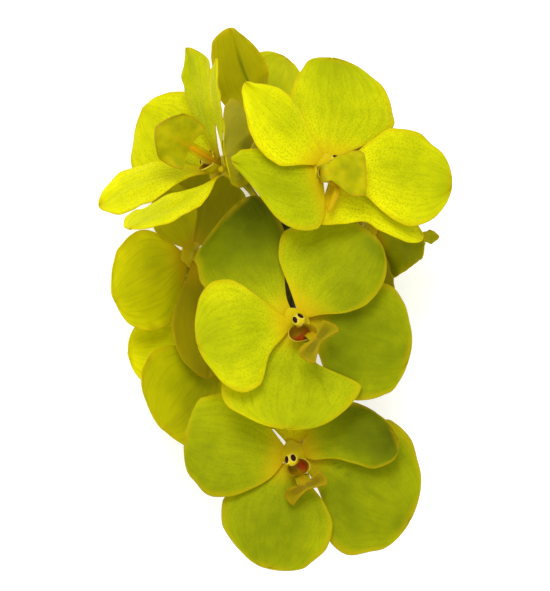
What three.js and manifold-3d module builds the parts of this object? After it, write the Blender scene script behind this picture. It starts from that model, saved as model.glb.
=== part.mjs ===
// A cut vanda orchid stem with eight open blooms, lying on its back.
// Millimetres, +Z up. The stem runs along +Y to its tip. The lowest blooms and the cut end touch z = 0.
import * as THREE from "three";
import { mergeVertices } from "three/addons/utils/BufferGeometryUtils.js";
import Module from "manifold-3d";

const wasm = await Module();
wasm.setup();

// Driving dimensions
const BLADE = 0.8; // thickness of a petal or sepal
const CLAW = 1.5; // half width of its narrow foot
const FOOT = 2.7; // where the foot starts, from the middle of the bloom
const FLOOR_SOFT = 0.8; // how softly a blade bends where it meets the surface
const PETAL_LIFT = 0.9; // the two petals sit in front of the three sepals
const SEPAL_LIFT = -0.7;
const COLUMN_LENGTH = 7;
const COLUMN_RADIUS = 2.6;
const NECK_RADIUS = 1.9; // where the petals leave the axis
const OVARY_RADIUS = 2.1;
const PEDICEL_RADIUS = 1.4;
const TOUCH = 0.3; // gap kept where one piece grows on another
const ORIGIN = [0, 1.5, -0.02]; // brings the middle of the footprint to 0, 0, 0

const ROWS = [0, 0.12, 0.27, 0.43, 0.58, 0.72, 0.85, 0.95, 1]; // where a blade is cut along its length
const COLUMNS = [-1, -0.66, -0.33, 0, 0.33, 0.66, 1]; // and across it

// Stations along a blade where a measured half width may be given, after the foot and before the tip
const STATIONS = [0, 0.12, 0.3, 0.5, 0.7, 0.85, 0.95, 1];

const PLAIN = {
  phi: 0, L: 44, WL: 16, WR: 16, a0: 5, a1: 0, umL: 0.58, umR: 0.58, qL: 1.4, qR: 1.4,
  tipL: 2.2, tipR: 2.2, eL: 0.5, eR: 0.5, cup: 0, tw0: 0, tw: 0, side: 0, wave: 0.8, waves: 1.5, ph: 0, h: 0,
};

// Axis of the stem, from its tip to the cut end
const STEM = [
  [1.5, 58, 47], [4, 45, 49.5], [5.5, 20, 50], [6.5, -5, 49.5], [8, -35, 48],
  [9.5, -62, 44], [9.5, -78, 38], [8.5, -95, 23], [6.5, -113, 2.05],
];
const STEM_RADII = [1.5, 2.0, 2.3, 2.4, 2.5, 2.6, 2.7, 2.8, 2.85];

// Each bloom: middle, facing, direction of its upper sepal, where its stalk leaves the stem, what differs
// in its lip, and its five blades. phi turns a blade about the bloom (anticlockwise from the front), L is its
// length, WL and WR its half widths, a0 and a1 its slope at foot and tip, um, q, tip and e shape its outline.
// Where left or right is given, it holds the half widths on that side at the stations instead.
const BLOOMS = [
  {
    name: "bloom_1", at: [7.8, -66.1, 76], face: [0, 0.22, 0.97], up: [-0.25, 0.95, 0], from: 0.655,
    lip: {
      roll: 1, root: [0.4, -9.6, 4], stalk: 7, bend: 74, tilt: 80, spin: -12, fan: 9, wing: 4.5,
      droop: [0.1, 0.5], waist: 3,
    },
    dorsal_sepal: { phi: -15, L: 42, WL: 17, WR: 17, a0: -6, a1: -22 },
    petal_left: {
      phi: 66, L: 43, a0: 12, a1: -5, left: [10.5, 17, 21.5, 22, 17, 11.5],
      right: [6.5, 13.5, 19, 21, 18.5, 14.5],
    },
    petal_right: {
      phi: -86, L: 40, a0: 12, a1: -5, side: -0.18, left: [6, 12, 16, 16, 12.5, 7.5],
      right: [4.5, 6, 10, 13, 11, 7],
    },
    lateral_sepal_left: {
      phi: 151, L: 45, a0: 5, a1: -8, left: [7, 17, 22.5, 22, 17.5, 12.5],
      right: [9.5, 17, 24, 22, 15.5, 8.5],
    },
    lateral_sepal_right: {
      phi: -133, L: 52, a0: -3, a1: -9, left: [6, 22, 33, 30, 22.5, 14.5],
      right: [3.5, 10, 23.5, 25, 19, 13],
    },
  },
  {
    name: "bloom_2", at: [-20.6, -21, 32], face: [-0.5, -0.15, -0.85], up: [-0.24, 0.95, -0.03], from: 0.5,
    lip: {},
    dorsal_sepal: { L: 23, WL: 12, WR: 12, a0: 22, a1: 10 },
    petal_left: { phi: 72, L: 40, a0: 27, a1: 17 },
    petal_right: { phi: -80, L: 40, WR: 17, a0: 25, a1: 10 },
    lateral_sepal_left: { phi: 155, L: 40, WL: 14, WR: 14, a0: 10, a1: 0 },
    lateral_sepal_right: { phi: -122, L: 50, WL: 24, WR: 24, a0: 2, a1: -14 },
  },
  {
    name: "bloom_3", at: [9, -10.8, 88], face: [0.05, 0.22, 0.97], up: [-0.5, 0.85, 0], from: 0.44,
    lip: {
      roll: 6, swing: -5, root: [0.5, -7.5, 5], stalk: 8.5, bend: 50, tilt: 76, spin: -22,
      throatTurn: -32, droop: [0.1, 0.1], spur: 7, rightLobe: [7, 2], fan: 9.7,
    },
    dorsal_sepal: {
      phi: 14, L: 53, a0: 0, a1: -25, side: -0.38, left: [5, 11, 19.5, 25, 25, 22],
      right: [3.5, 10, 18.5, 18.5, 15, 10],
    },
    petal_left: {
      phi: 74.5, L: 40, a0: 15, a1: 0, left: [5, 10, 22, 23, 18, 9], right: [6.5, 16, 24, 24, 19, 11],
    },
    petal_right: {
      phi: -71.5, L: 45, a0: 12, a1: 0, left: [10.5, 23.5, 28, 23, 18, 14],
      right: [5.5, 13.5, 17.5, 17, 13.5, 8.5],
    },
    lateral_sepal_left: {
      phi: 142.5, L: 41.5, a0: -3, a1: -3, left: [5, 9, 29, 25, 19, 12],
      right: [7, 16, 26, 27.5, 24, 14],
    },
    lateral_sepal_right: {
      phi: -135, L: 46, a0: -7, a1: -9, left: [9.5, 19, 25, 25.5, 20, 11],
      right: [5.5, 17, 25, 23.5, 19.5, 14],
    },
  },
  {
    name: "bloom_4", at: [-35.3, 17, 38], face: [-0.69, 0.03, -0.73], up: [-0.43, 0.79, 0.44], from: 0.31,
    lip: {},
    dorsal_sepal: { phi: 8, L: 30, WL: 12, WR: 14, a0: 3, a1: 5 },
    petal_left: {
      phi: 64, L: 42, a0: 14, a1: 8, left: [4.8, 12.5, 19.5, 23, 22.5, 18],
      right: [5, 12.5, 18, 18.5, 15, 9],
    },
    petal_right: { phi: -76, L: 42, WL: 21, WR: 22, a0: 5, a1: 0, umL: 0.5, umR: 0.5, qL: 0.9, qR: 0.9 },
    lateral_sepal_left: { phi: 138, L: 40, WL: 14, WR: 14, a0: 24, a1: 40, h: -0.3 },
    lateral_sepal_right: { phi: -140, L: 50, WL: 17, WR: 12, a0: -14, a1: -14 },
  },
  {
    name: "bloom_5", at: [40.6, 28, 34], face: [0.88, 0.22, -0.42], up: [0.1, 0.91, 0.38], from: 0.22,
    lip: {
      swing: 90, root: [-7.8, 0, 5], stalk: 17.5, bend: -10, tilt: -30, fan: 3.2, back: -4, middle: 9.2,
      wing: 6.8, waist: 1.5, droop: [0, 0],
    },
    dorsal_sepal: { L: 40, a0: 2 },
    petal_left: {
      phi: 77, L: 39, a0: 5, left: [21, 19, 15.3, 11.2, 8, 6], right: [9, 13, 12, 8, 5, 3.5],
    },
    petal_right: { phi: -72, L: 40, a0: 10 },
    lateral_sepal_left: { phi: 146, L: 34, WL: 9, WR: 11, a0: 2, a1: -10 },
    lateral_sepal_right: { phi: -144, L: 40, a0: 10 },
  },
  {
    name: "bloom_6", at: [-23.3, 53.2, 60], face: [-0.81, 0.46, 0.36], up: [-0.3, 0.2, -0.93], from: 0.13,
    lip: {
      root: [1.5, -8.6, 5], stalk: 14, bend: 8, tilt: 8, fan: 11, back: 1, middle: 18, wing: 13,
      scoop: 2.5, spur: 2.5,
    },
    dorsal_sepal: {
      phi: -1.8, L: 46.5, a0: 48, a1: 38, side: -0.08, left: [6, 14, 21.5, 23.5, 18.5, 10],
      right: [6, 13, 17.5, 18, 13, 7.5],
    },
    petal_left: {
      phi: 70, L: 49.5, WL: 14, WR: 15, a0: 59, a1: 40, tw0: -8, side: 0.35, umL: 0.68, umR: 0.6,
      qL: 2.4, eL: 0.7,
    },
    petal_right: {
      phi: -92, L: 48, a0: 55, a1: 36, tw0: 22, side: 0.25, left: [3, 6, 9, 8.5, 4.5, 2],
      right: [3, 6, 9, 13.5, 14.5, 12.5],
    },
    lateral_sepal_left: {
      phi: 139.5, L: 58, a0: 28, a1: 40, tw0: -42, side: -0.15, h: -0.6, left: [3, 6.5, 9.5, 10.5, 8, 5],
      right: [3.5, 7.5, 11.5, 12.5, 11, 6.5],
    },
    lateral_sepal_right: {
      phi: -127.5, L: 58, h: -0.7, WL: 6, WR: 6, a0: 49, a1: 30, tw0: 24, eL: 0.6, eR: 0.6,
    },
  },
  {
    name: "bloom_7", at: [21.5, 51.7, 94], face: [0.28, 0.25, 0.93], up: [0.25, 0.95, 0], from: 0.1,
    lip: {
      roll: 74, swing: 37, throatTurn: -98, spin: 8,
      horn: [[-2, -5.5, 2], [4, -8, 3.4], [2.8, -19.5, 2.6]], root: [-4.3, 6.6, 6.5], stalk: 5.5,
      waist: 3.6, bend: 76, tilt: 88, fan: 9.7, back: -7, middle: 15.3, wing: 15.3, droop: [0.1, 0.1],
      throat: 0.72,
    },
    dorsal_sepal: {
      phi: 5, L: 49, a0: -4, a1: -14, left: [6, 13, 17.5, 16, 12.5, 9],
      right: [8, 20.5, 28, 25.5, 20, 12],
    },
    petal_left: {
      phi: 60.5, L: 46, a0: 15, a1: 0, left: [7, 15.5, 16.5, 13.5, 8.5, 4.5],
      right: [2.5, 5, 8.7, 9, 5.5, 2],
    },
    petal_right: {
      phi: -81.6, L: 50.5, a0: 4, a1: -3, h: -1.3, left: [5.5, 14, 21, 20, 15, 10],
      right: [4.5, 11, 18, 20, 16, 9.5],
    },
    lateral_sepal_left: {
      phi: 120, L: 34.5, a0: 0, a1: -10, side: -0.4, left: [16.5, 24, 24.5, 21, 10, 3.5],
      right: [6, 10, 11, 9.5, 7, 3.5],
    },
    lateral_sepal_right: {
      phi: -109, L: 47, a0: -4, a1: -10, left: [3.4, 7, 9, 8, 5.5, 2.6],
      right: [21.5, 16, 8.5, 7.5, 6, 3.7],
    },
  },
  {
    name: "bloom_8", at: [-5.5, 71.6, 42], face: [-0.87, 0, -0.49], up: [-0.245, 0.87, 0.43], from: 0.02,
    lip: { spur: 3.4 },
    dorsal_sepal: {
      phi: -3, L: 43, a0: 14, a1: 0, tw0: -40, side: 0.09, left: [5, 9.5, 11.5, 9.5, 6, 3],
      right: [5, 12, 13, 11.5, 9.5, 7],
    },
    petal_left: { phi: 76, L: 43, WL: 14, WR: 15, a0: 12, a1: 4, tw0: -40 },
    petal_right: { phi: -78, L: 46, WL: 19, WR: 18, a0: -6, a1: -18 },
    lateral_sepal_left: { phi: 138, L: 43, a0: 26, a1: 27 },
    lateral_sepal_right: { phi: -116, L: 36, WL: 12, WR: 12, a0: -14, a1: -18 },
  },
];

const rad = THREE.MathUtils.degToRad;
const clamp01 = (x) => THREE.MathUtils.clamp(x, 0, 1);
const vec = (a) => new THREE.Vector3(...a);

// Right, up and forward of a bloom
function bloomFrame(bloom) {
  const forward = vec(bloom.face).normalize();
  const up = vec(bloom.up);
  up.addScaledVector(forward, -up.dot(forward)).normalize();
  const right = new THREE.Vector3().crossVectors(up, forward);
  return { origin: vec(bloom.at), right, up, forward };
}

// Half width of a blade along its length
function halfWidth(u, width, um, q, tip, e) {
  if (u < um) return CLAW + (width - CLAW) * Math.sin((Math.PI / 2) * (u / um)) ** q;
  return width * clamp01(1 - ((u - um) / (1 - um)) ** tip) ** e;
}

// Half width of a blade whose width was read off at the stations, on a smooth curve through them
function measuredWidth(u, widths) {
  const roundEnd = (k) => Math.sqrt(clamp01(1 - k ** 6));
  const y = [CLAW, ...widths].map((w, i) => w / roundEnd(STATIONS[i]));
  y.push(y.at(-1));
  const rise = y.slice(1).map((w, i) => (w - y[i]) / (STATIONS[i + 1] - STATIONS[i]));
  const slope = y.map((_, i) => {
    if (i === 0 || i === rise.length) return rise[Math.min(i, rise.length - 1)];
    const both = rise[i - 1] * rise[i];
    return both > 0 ? (2 * both) / (rise[i - 1] + rise[i]) : 0;
  });
  let i = 0;
  while (i < rise.length - 1 && u >= STATIONS[i + 1]) i++;
  const gap = STATIONS[i + 1] - STATIONS[i];
  const k = (u - STATIONS[i]) / gap;
  const near = (1 + 2 * k) * (1 - k) ** 2 * y[i] + k * (1 - k) ** 2 * gap * slope[i];
  const far = k * k * (3 - 2 * k) * y[i + 1] - k * k * (1 - k) * gap * slope[i + 1];
  return (near + far) * roundEnd(u);
}

// Half width on the left or right of a blade
function sideWidth(t, left, u) {
  const widths = left ? t.left : t.right;
  if (widths) return measuredWidth(u, widths);
  return left ? halfWidth(u, t.WL, t.umL, t.qL, t.tipL, t.eL) : halfWidth(u, t.WR, t.umR, t.qR, t.tipR, t.eR);
}

// A height that would lie under the surface is laid on it
const press = (z, floor) => floor + FLOOR_SOFT * Math.log1p(Math.exp((z - floor) / FLOOR_SOFT));

// Both faces of a blade at u along its length and v across it
function bladePoints(frame, t, lift, u, v) {
  const f = rad(t.phi);
  const along = frame.up.clone().multiplyScalar(Math.cos(f)).addScaledVector(frame.right, -Math.sin(f));
  const across = new THREE.Vector3().crossVectors(frame.forward, along);
  const a0 = rad(t.a0);
  const bend = rad(t.a1) - a0 || 1e-4;
  const x = (Math.sin(a0 + bend * u) - Math.sin(a0)) / bend;
  const z = (Math.cos(a0) - Math.cos(a0 + bend * u)) / bend;
  const p = frame.origin.clone();
  p.addScaledVector(along, FOOT + t.L * x);
  p.addScaledVector(frame.forward, lift + t.h + t.L * z);
  p.addScaledVector(across, t.side * t.L * u * u);
  const slope = a0 + bend * u;
  const face = along.clone().multiplyScalar(-Math.sin(slope)).addScaledVector(frame.forward, Math.cos(slope));
  const twist = rad(t.tw0 * clamp01(u * 2.5) + t.tw * u);
  const wide = across.clone().multiplyScalar(Math.cos(twist)).addScaledVector(face, Math.sin(twist));
  const normal = face.multiplyScalar(Math.cos(twist)).addScaledVector(across, -Math.sin(twist));
  const w = sideWidth(t, v > 0, u);
  const ripple = Math.sin(t.waves * 2 * Math.PI * u + t.ph + (v > 0 ? 1.7 : 0));
  const grow = clamp01(u * 1.6 - 0.3) * clamp01((1 - u) * 6);
  const off = w * t.cup * v * v + t.wave * Math.abs(v) ** 3 * ripple * grow;
  p.addScaledVector(wide, w * v).addScaledVector(normal, off);
  return [1, -1].map((side) => {
    const q = p.clone().addScaledVector(normal, (side * BLADE) / 2);
    const upper = side * normal.z > 0;
    q.z = press(q.z, upper ? BLADE : 0);
    return q;
  });
}

// Closed geometry from vertices and faces, turned so that the faces point out
function closed(points, faces) {
  const geometry = new THREE.BufferGeometry();
  const position = points.flatMap((p) => [p.x, p.y, p.z]);
  geometry.setAttribute("position", new THREE.Float32BufferAttribute(position, 3));
  let volume = 0;
  for (const [a, b, c] of faces) {
    volume += points[a].dot(new THREE.Vector3().crossVectors(points[b], points[c]));
  }
  geometry.setIndex(faces.flatMap(([a, b, c]) => (volume > 0 ? [a, b, c] : [a, c, b])));
  return geometry;
}

// A blade: two like faces, walls along its edge, and one point at its tip if it is pointed
function blade(place, rows = ROWS, columns = COLUMNS, pointed = true) {
  const points = [];
  const index = [0, 1].map(() => []);
  const last = rows.length - 1;
  rows.forEach((u, i) => {
    index[0].push([]);
    index[1].push([]);
    columns.forEach((v, j) => {
      if (pointed && i === last && j > 0) {
        index[0][i].push(index[0][i][0]);
        index[1][i].push(index[1][i][0]);
        return;
      }
      const [upper, lower] = place(u, pointed && i === last ? 0 : v);
      index[0][i].push(points.push(upper) - 1);
      index[1][i].push(points.push(lower) - 1);
    });
  });
  const faces = [];
  const quad = (a, b, c, d) => {
    if (a !== b && b !== c && a !== c) faces.push([a, b, c]);
    if (a !== c && c !== d && a !== d) faces.push([a, c, d]);
  };
  const [top, low] = index;
  const n = columns.length - 1;
  for (let i = 0; i < last; i++) {
    for (let j = 0; j < n; j++) {
      quad(top[i][j], top[i + 1][j], top[i + 1][j + 1], top[i][j + 1]);
      quad(low[i][j + 1], low[i + 1][j + 1], low[i + 1][j], low[i][j]);
    }
    quad(low[i][0], low[i + 1][0], top[i + 1][0], top[i][0]);
    quad(top[i][n], top[i + 1][n], low[i + 1][n], low[i][n]);
  }
  for (let j = 0; j < n; j++) {
    quad(low[0][j], top[0][j], top[0][j + 1], low[0][j + 1]);
    if (!pointed) quad(top[last][j], low[last][j], low[last][j + 1], top[last][j + 1]);
  }
  return closed(points, faces);
}

// A tube along a curve through the given points, with flat ends. Its stations are pairs of a distance
// along the curve and a radius.
function tube(points, stations, sides) {
  const curve = new THREE.CatmullRomCurve3(points);
  const length = curve.getLength();
  const vertices = [];
  const faces = [];
  let side = new THREE.Vector3(0.3, 0.2, 0.93);
  stations(length).forEach(([distance, r], i) => {
    const t = clamp01(distance / length);
    const tangent = curve.getTangentAt(t);
    side = side.clone().addScaledVector(tangent, -side.dot(tangent)).normalize();
    const other = new THREE.Vector3().crossVectors(tangent, side);
    for (let s = 0; s < sides; s++) {
      const angle = (s / sides) * 2 * Math.PI;
      const p = curve.getPointAt(t).addScaledVector(side, r * Math.cos(angle));
      vertices.push(p.addScaledVector(other, r * Math.sin(angle)));
    }
    if (i === 0) return;
    for (let s = 0; s < sides; s++) {
      const [a, b] = [(i - 1) * sides + s, (i - 1) * sides + ((s + 1) % sides)];
      faces.push([a, b, b + sides], [a, b + sides, a + sides]);
    }
  });
  const last = vertices.length - sides;
  const [first, end] = [vertices.push(curve.getPointAt(0)) - 1, vertices.push(curve.getPointAt(1)) - 1];
  for (let s = 0; s < sides; s++) {
    const n = (s + 1) % sides;
    faces.push([first, n, s], [end, last + s, last + n]);
  }
  return closed(vertices, faces);
}

// Stations spread evenly along a curve, for a list of radii
const evenly = (radii, steps) => (length) =>
  Array.from({ length: steps + 1 }, (_, i) => {
    const k = (i / steps) * (radii.length - 1);
    const j = Math.min(Math.floor(k), radii.length - 2);
    return [(i / steps) * length, THREE.MathUtils.lerp(radii[j], radii[j + 1], k - j)];
  });

function solid(geometry) {
  const bare = geometry.clone();
  bare.deleteAttribute("normal");
  bare.deleteAttribute("uv");
  const merged = mergeVertices(bare, 1e-4);
  return new wasm.Manifold(
    new wasm.Mesh({
      numProp: 3,
      vertProperties: merged.attributes.position.array,
      triVerts: new Uint32Array(merged.index.array),
    }),
  );
}

function geometryOf(manifold) {
  const { numProp, vertProperties, triVerts } = manifold.getMesh();
  const position = [];
  for (let i = 0; i < vertProperties.length; i += numProp) position.push(...vertProperties.slice(i, i + 3));
  const geometry = new THREE.BufferGeometry();
  geometry.setAttribute("position", new THREE.Float32BufferAttribute(position, 3));
  geometry.setIndex([...triVerts]);
  return geometry;
}

// The lip, in the bloom's right, up and forward: a throat cup, a middle lobe that runs forward, bends
// down and ends in a fishtail, two side lobes beside the throat and a blunt spur under it
const PLAIN_LIP = {
  roll: 0, // turn of the whole lip about the bloom's facing
  swing: 0, // further turn of the middle lobe
  throatTurn: 0, // further turn of the throat cup
  throat: 1, // size of the throat cup
  leftLobe: [3.6, 0], // how far a side lobe stands forward and leans aside
  rightLobe: [3.6, 0],
  spur: 4, // how far the spur reaches past the cup
  horn: null, // its path, where it isn't the plain one
  root: [0, -8.6, 5], // where the middle lobe starts
  stalk: 13, // length of its narrow waist
  waist: 2.3, // half width there
  bend: 40, // slope at the waist's end
  tilt: 62, // slope of the fishtail
  fan: 10.5, // half width of the fishtail
  back: 2.5, // how far its corners reach back, its middle forward and its wings forward
  middle: 3,
  wing: 6,
  spin: 0, // turn of the fishtail in its own plane
  droop: [0.25, 0.25], // how far its right and left wings fold back, of its half width
  scoop: 0, // how far its sides stand up round its middle
};

// How far down and forward a lobe is at each step of its length, and its slope there
function lobeLine(lip) {
  const rows = [];
  let [down, ahead] = [0, 0];
  for (let run = -8; run <= 40; run += 0.1) {
    const waist = rad(lip.bend * clamp01(run / lip.stalk));
    const turn = THREE.MathUtils.smoothstep(run, lip.stalk - 4, lip.stalk + 2);
    const slope = THREE.MathUtils.lerp(waist, rad(lip.tilt), turn);
    down += Math.sin(slope) * 0.1;
    ahead += Math.cos(slope) * 0.1;
    rows.push([down, ahead, slope]);
  }
  const [down0, ahead0] = rows[80];
  return (run) => {
    const [d, a, slope] = rows[THREE.MathUtils.clamp(Math.round((run + 8) * 10), 0, rows.length - 1)];
    return [d - down0, a - ahead0, slope];
  };
}

function middleLobe(lip) {
  const line = lobeLine(lip);
  const place = (u, v) => {
    const k = clamp01((u - 0.45) / 0.55);
    const flare = THREE.MathUtils.smoothstep(k, 0, 0.42);
    const across = THREE.MathUtils.smoothstep(k, 0.36, 1);
    const side = Math.abs(v);
    const inner = -lip.back * side ** 1.4;
    const outer = lip.middle + (lip.wing - lip.middle) * side ** 1.3;
    const past = flare * inner + across * (outer - inner);
    let run = lip.stalk * clamp01(u / 0.45) + past;
    const corner = 1 - 0.16 * Math.abs(2 * across - 1) ** 3 * flare;
    let w = (lip.waist + (lip.fan * corner - lip.waist) * flare) * v;
    const spin = rad(lip.spin) * flare;
    const beyond = run - lip.stalk;
    run += flare * (w * Math.sin(spin) + beyond * (Math.cos(spin) - 1));
    w = w * Math.cos(spin) - flare * beyond * Math.sin(spin);
    // The waist follows the line, and the fan lies flat in its own plane
    const [tilt, farther] = [rad(lip.tilt), run - lip.stalk];
    const [downEnd, aheadEnd] = line(lip.stalk);
    const plane = [downEnd + farther * Math.sin(tilt), aheadEnd + farther * Math.cos(tilt), tilt];
    const flat = THREE.MathUtils.smoothstep(flare, 0.2, 1);
    const [down, ahead, slope] = line(run).map((value, i) => THREE.MathUtils.lerp(value, plane[i], flat));
    const fold = -lip.droop[v > 0 ? 0 : 1] * lip.fan * side ** 2.2 * flare;
    const dish = lip.scoop * (side ** 2 - 0.3) * flare * Math.sin(across * Math.PI);
    return [1, -1].map((face) => {
      const n = fold + dish + face * 0.45;
      const y = lip.root[1] - down + n * Math.cos(slope);
      return new THREE.Vector3(lip.root[0] + w, y, lip.root[2] + ahead + n * Math.sin(slope));
    });
  };
  return solid(blade(place, [0, 0.25, 0.45, 0.6, 0.72, 0.86, 1], [-1, -0.55, 0, 0.55, 1], false));
}

function lipSolid(given) {
  const lip = { ...PLAIN_LIP, ...given };
  const size = lip.throat;
  const cupOut = new THREE.SphereGeometry(1, 8, 5).scale(4.4 * size, 3.6 * size, 4.2).translate(0, -6.3, 5.2);
  const cupIn = new THREE.SphereGeometry(1, 8, 5).scale(3.5 * size, 2.7 * size, 4.6).translate(0, -6, 7);
  let cup = solid(cupOut).subtract(solid(cupIn));
  for (const [sign, [rise, lean]] of [[-1, lip.leftLobe], [1, lip.rightLobe]]) {
    const lobe = new THREE.SphereGeometry(1, 5, 4).scale(0.8, 2.4 * size, 0.67 * rise).rotateZ(sign * -0.35);
    cup = cup.add(solid(lobe.translate(sign * 4.1 * size + lean * 0.2, -4.6, 5.8 + rise / 2)));
  }
  const turn = rad(lip.roll + lip.throatTurn);
  const [s, c] = [Math.sin(turn), Math.cos(turn)];
  const plain = [[6 * s, -6 * c, 2.1], [2 * s, -8 - lip.spur / 2, 3], [0, -9 - lip.spur, 2.4]];
  const parts = [
    solid(geometryOf(cup).rotateZ(turn)),
    solid(geometryOf(middleLobe(lip)).rotateZ(rad(lip.roll + lip.swing))),
    solid(tube((lip.horn ?? plain).map(vec), evenly([1.9, 1.8, 1], 2), 6)),
  ];
  return geometryOf(parts[0].add(parts[1]).add(parts[2]));
}

const group = new THREE.Group();
function addPiece(name, geometry, color, roughness) {
  const mesh = new THREE.Mesh(geometry, new THREE.MeshStandardMaterial({ color, roughness, metalness: 0 }));
  mesh.name = name;
  group.add(mesh);
}

const stemCurve = new THREE.CatmullRomCurve3(STEM.map(vec));
const stemRadius = (t) => {
  const k = t * (STEM_RADII.length - 1);
  const j = Math.min(Math.floor(k), STEM_RADII.length - 2);
  return THREE.MathUtils.lerp(STEM_RADII[j], STEM_RADII[j + 1], k - j);
};

// Radii of a flower stalk from the stem to the tip of the column
const stalkStations = (length) => {
  const body = [0, 1, 2, 3, 4, 5].map((i) => [((length - 20) * i) / 5, i ? PEDICEL_RADIUS : 1.7]);
  const ovary = [[15, 1.7], [11, OVARY_RADIUS], [8.2, NECK_RADIUS]];
  const column = [[4.6, NECK_RADIUS], [3.4, 2.3], [1.6, COLUMN_RADIUS], [0.4, 2]];
  const top = [...ovary, ...column];
  return [...body, ...top.map(([d, r]) => [length - d, r]), [length, 1.3]];
};

// The stem gets a small bract under each flower stalk
let stem = solid(tube(STEM.map(vec), evenly(STEM_RADII, 24), 10));

const LIFTS = {
  dorsal_sepal: SEPAL_LIFT - 0.6,
  petal_left: PETAL_LIFT,
  petal_right: PETAL_LIFT,
  lateral_sepal_left: SEPAL_LIFT,
  lateral_sepal_right: SEPAL_LIFT - 1.2,
};

for (const bloom of BLOOMS) {
  const frame = bloomFrame(bloom);
  for (const [piece, lift] of Object.entries(LIFTS)) {
    const t = { ...PLAIN, ...bloom[piece] };
    addPiece(`${bloom.name}_${piece}`, blade((u, v) => bladePoints(frame, t, lift, u, v)), 0xbfc400, 0.5);
  }
  const matrix = new THREE.Matrix4().makeBasis(frame.right, frame.up, frame.forward);
  matrix.setPosition(frame.origin);
  const at = (x, y, z) => new THREE.Vector3(x, y, z).applyMatrix4(matrix);
  addPiece(`${bloom.name}_lip`, lipSolid(bloom.lip).applyMatrix4(matrix), 0xb0a400, 0.45);

  // The flower stalk runs from the stem into the column in one piece
  const node = stemCurve.getPointAt(bloom.from);
  const tangent = stemCurve.getTangentAt(bloom.from);
  const behind = at(0, 0, -12);
  const leave = behind.clone().sub(node);
  leave.addScaledVector(tangent, -leave.dot(tangent)).normalize();
  const r = stemRadius(bloom.from);
  const start = node.clone().addScaledVector(leave, r + TOUCH);
  const path = [start, start.clone().addScaledVector(leave, 5), behind, at(0, 0, -4), at(0, 0, 0)];
  path.push(at(0, 0.5, COLUMN_LENGTH * 0.6), at(0, 0.9, COLUMN_LENGTH));
  addPiece(`${bloom.name}_stalk_and_column`, tube(path, stalkStations, 8), 0xd8d69a, 0.5);
  const scale = new THREE.ConeGeometry(1.6, 4.5, 6).scale(1, 1, 0.5);
  const lean = leave.clone().addScaledVector(tangent, 0.5).normalize();
  scale.applyQuaternion(new THREE.Quaternion().setFromUnitVectors(new THREE.Vector3(0, 1, 0), lean));
  const foot = node.clone().addScaledVector(leave, r * 0.7).addScaledVector(tangent, 2.6);
  stem = stem.add(solid(scale.translate(foot.x, foot.y, foot.z)));
}
addPiece("stem", geometryOf(stem), 0x3b3a14, 0.6);
group.position.set(...ORIGIN);

export default group;
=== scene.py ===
# Looks of a cut vanda orchid stem with eight open blooms, lying on a pale surface and seen from above.
# Lengths are in millimetres and become metres where a mesh is made.
import math

import bmesh
import bpy
import numpy as np
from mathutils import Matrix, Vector


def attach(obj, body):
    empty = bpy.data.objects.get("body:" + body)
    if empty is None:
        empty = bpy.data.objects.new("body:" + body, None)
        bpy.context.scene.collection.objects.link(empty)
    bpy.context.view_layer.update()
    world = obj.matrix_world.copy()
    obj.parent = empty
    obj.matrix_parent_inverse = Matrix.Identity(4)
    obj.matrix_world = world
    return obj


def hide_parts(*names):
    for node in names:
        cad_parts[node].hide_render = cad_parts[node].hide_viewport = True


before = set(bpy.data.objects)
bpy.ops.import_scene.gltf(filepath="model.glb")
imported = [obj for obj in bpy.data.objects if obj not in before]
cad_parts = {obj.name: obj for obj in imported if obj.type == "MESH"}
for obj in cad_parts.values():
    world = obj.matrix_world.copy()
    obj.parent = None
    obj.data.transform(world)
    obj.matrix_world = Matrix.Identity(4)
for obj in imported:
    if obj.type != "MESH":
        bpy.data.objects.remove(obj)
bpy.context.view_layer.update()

MM = 0.001
DOUBLES = 0.004 * MM  # points nearer than this are merged
ORIGIN = np.array([0.0, 1.5, -0.02])  # from the place where the blooms are measured to the part's origin

# Driving dimensions of a bloom, as in the solids
BLADE = 0.8  # thickness of a petal or sepal
CLAW = 1.5  # its half width at the foot
FOOT = 2.7  # from the middle of the bloom to a blade's foot
FLOOR_SOFT = 0.8  # how gently a low blade is laid on the surface
PETAL_LIFT = 0.9
SEPAL_LIFT = -0.7
PEDICEL_RADIUS = 1.4
OVARY_RADIUS = 2.1
THROAT_PLACE = (-6.0, 2.6)  # up and forward of the throat's bottom, from the middle of the bloom
THROAT_RADIUS = 3.9
THROAT_WALL = 0.5
THROAT_DEPTH = 3.6
LOBE_HALF = 0.45  # half the thickness of the lip's middle lobe
WAIST_SHARE = 0.45  # share of the middle lobe's rows that its waist takes
COLUMN_LEAN = 6.6  # height of the column at which its lean is measured
PIT_RADII = (1.05, 1.5, 0.5)  # half axes of a pollen pit
STALK_REACH = 12  # how far behind its bloom a stalk runs straight
STALK_STEPS = 60
STEM_STEPS = 241

# How finely a blade is cut along and across
ROWS = 54
COLUMNS = 37
RIM = 0.45  # thickness at a blade's edge, of its thickness in the middle
TIP = 2.2  # how slowly a plain outline narrows towards its tip
WAVE = 0.8  # height of the broad waves in a blade's margin
WAVES = 1.5  # how many of them there are
CREASE = 0.35  # depth of the groove over the midrib
CURL = 0.05  # how far a blade's sides fold back, of their width
SWELL = 0.6  # height of the broad soft swells in a blade
FOLDS = 0.45  # height of the soft folds that run out from its foot
RUFFLE = 0.4  # height of the small waves in its margin

# Stations along a blade where a measured width may be given, after the foot and before the tip
STATIONS = (0, 0.12, 0.3, 0.5, 0.7, 0.85, 0.95, 1)

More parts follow.
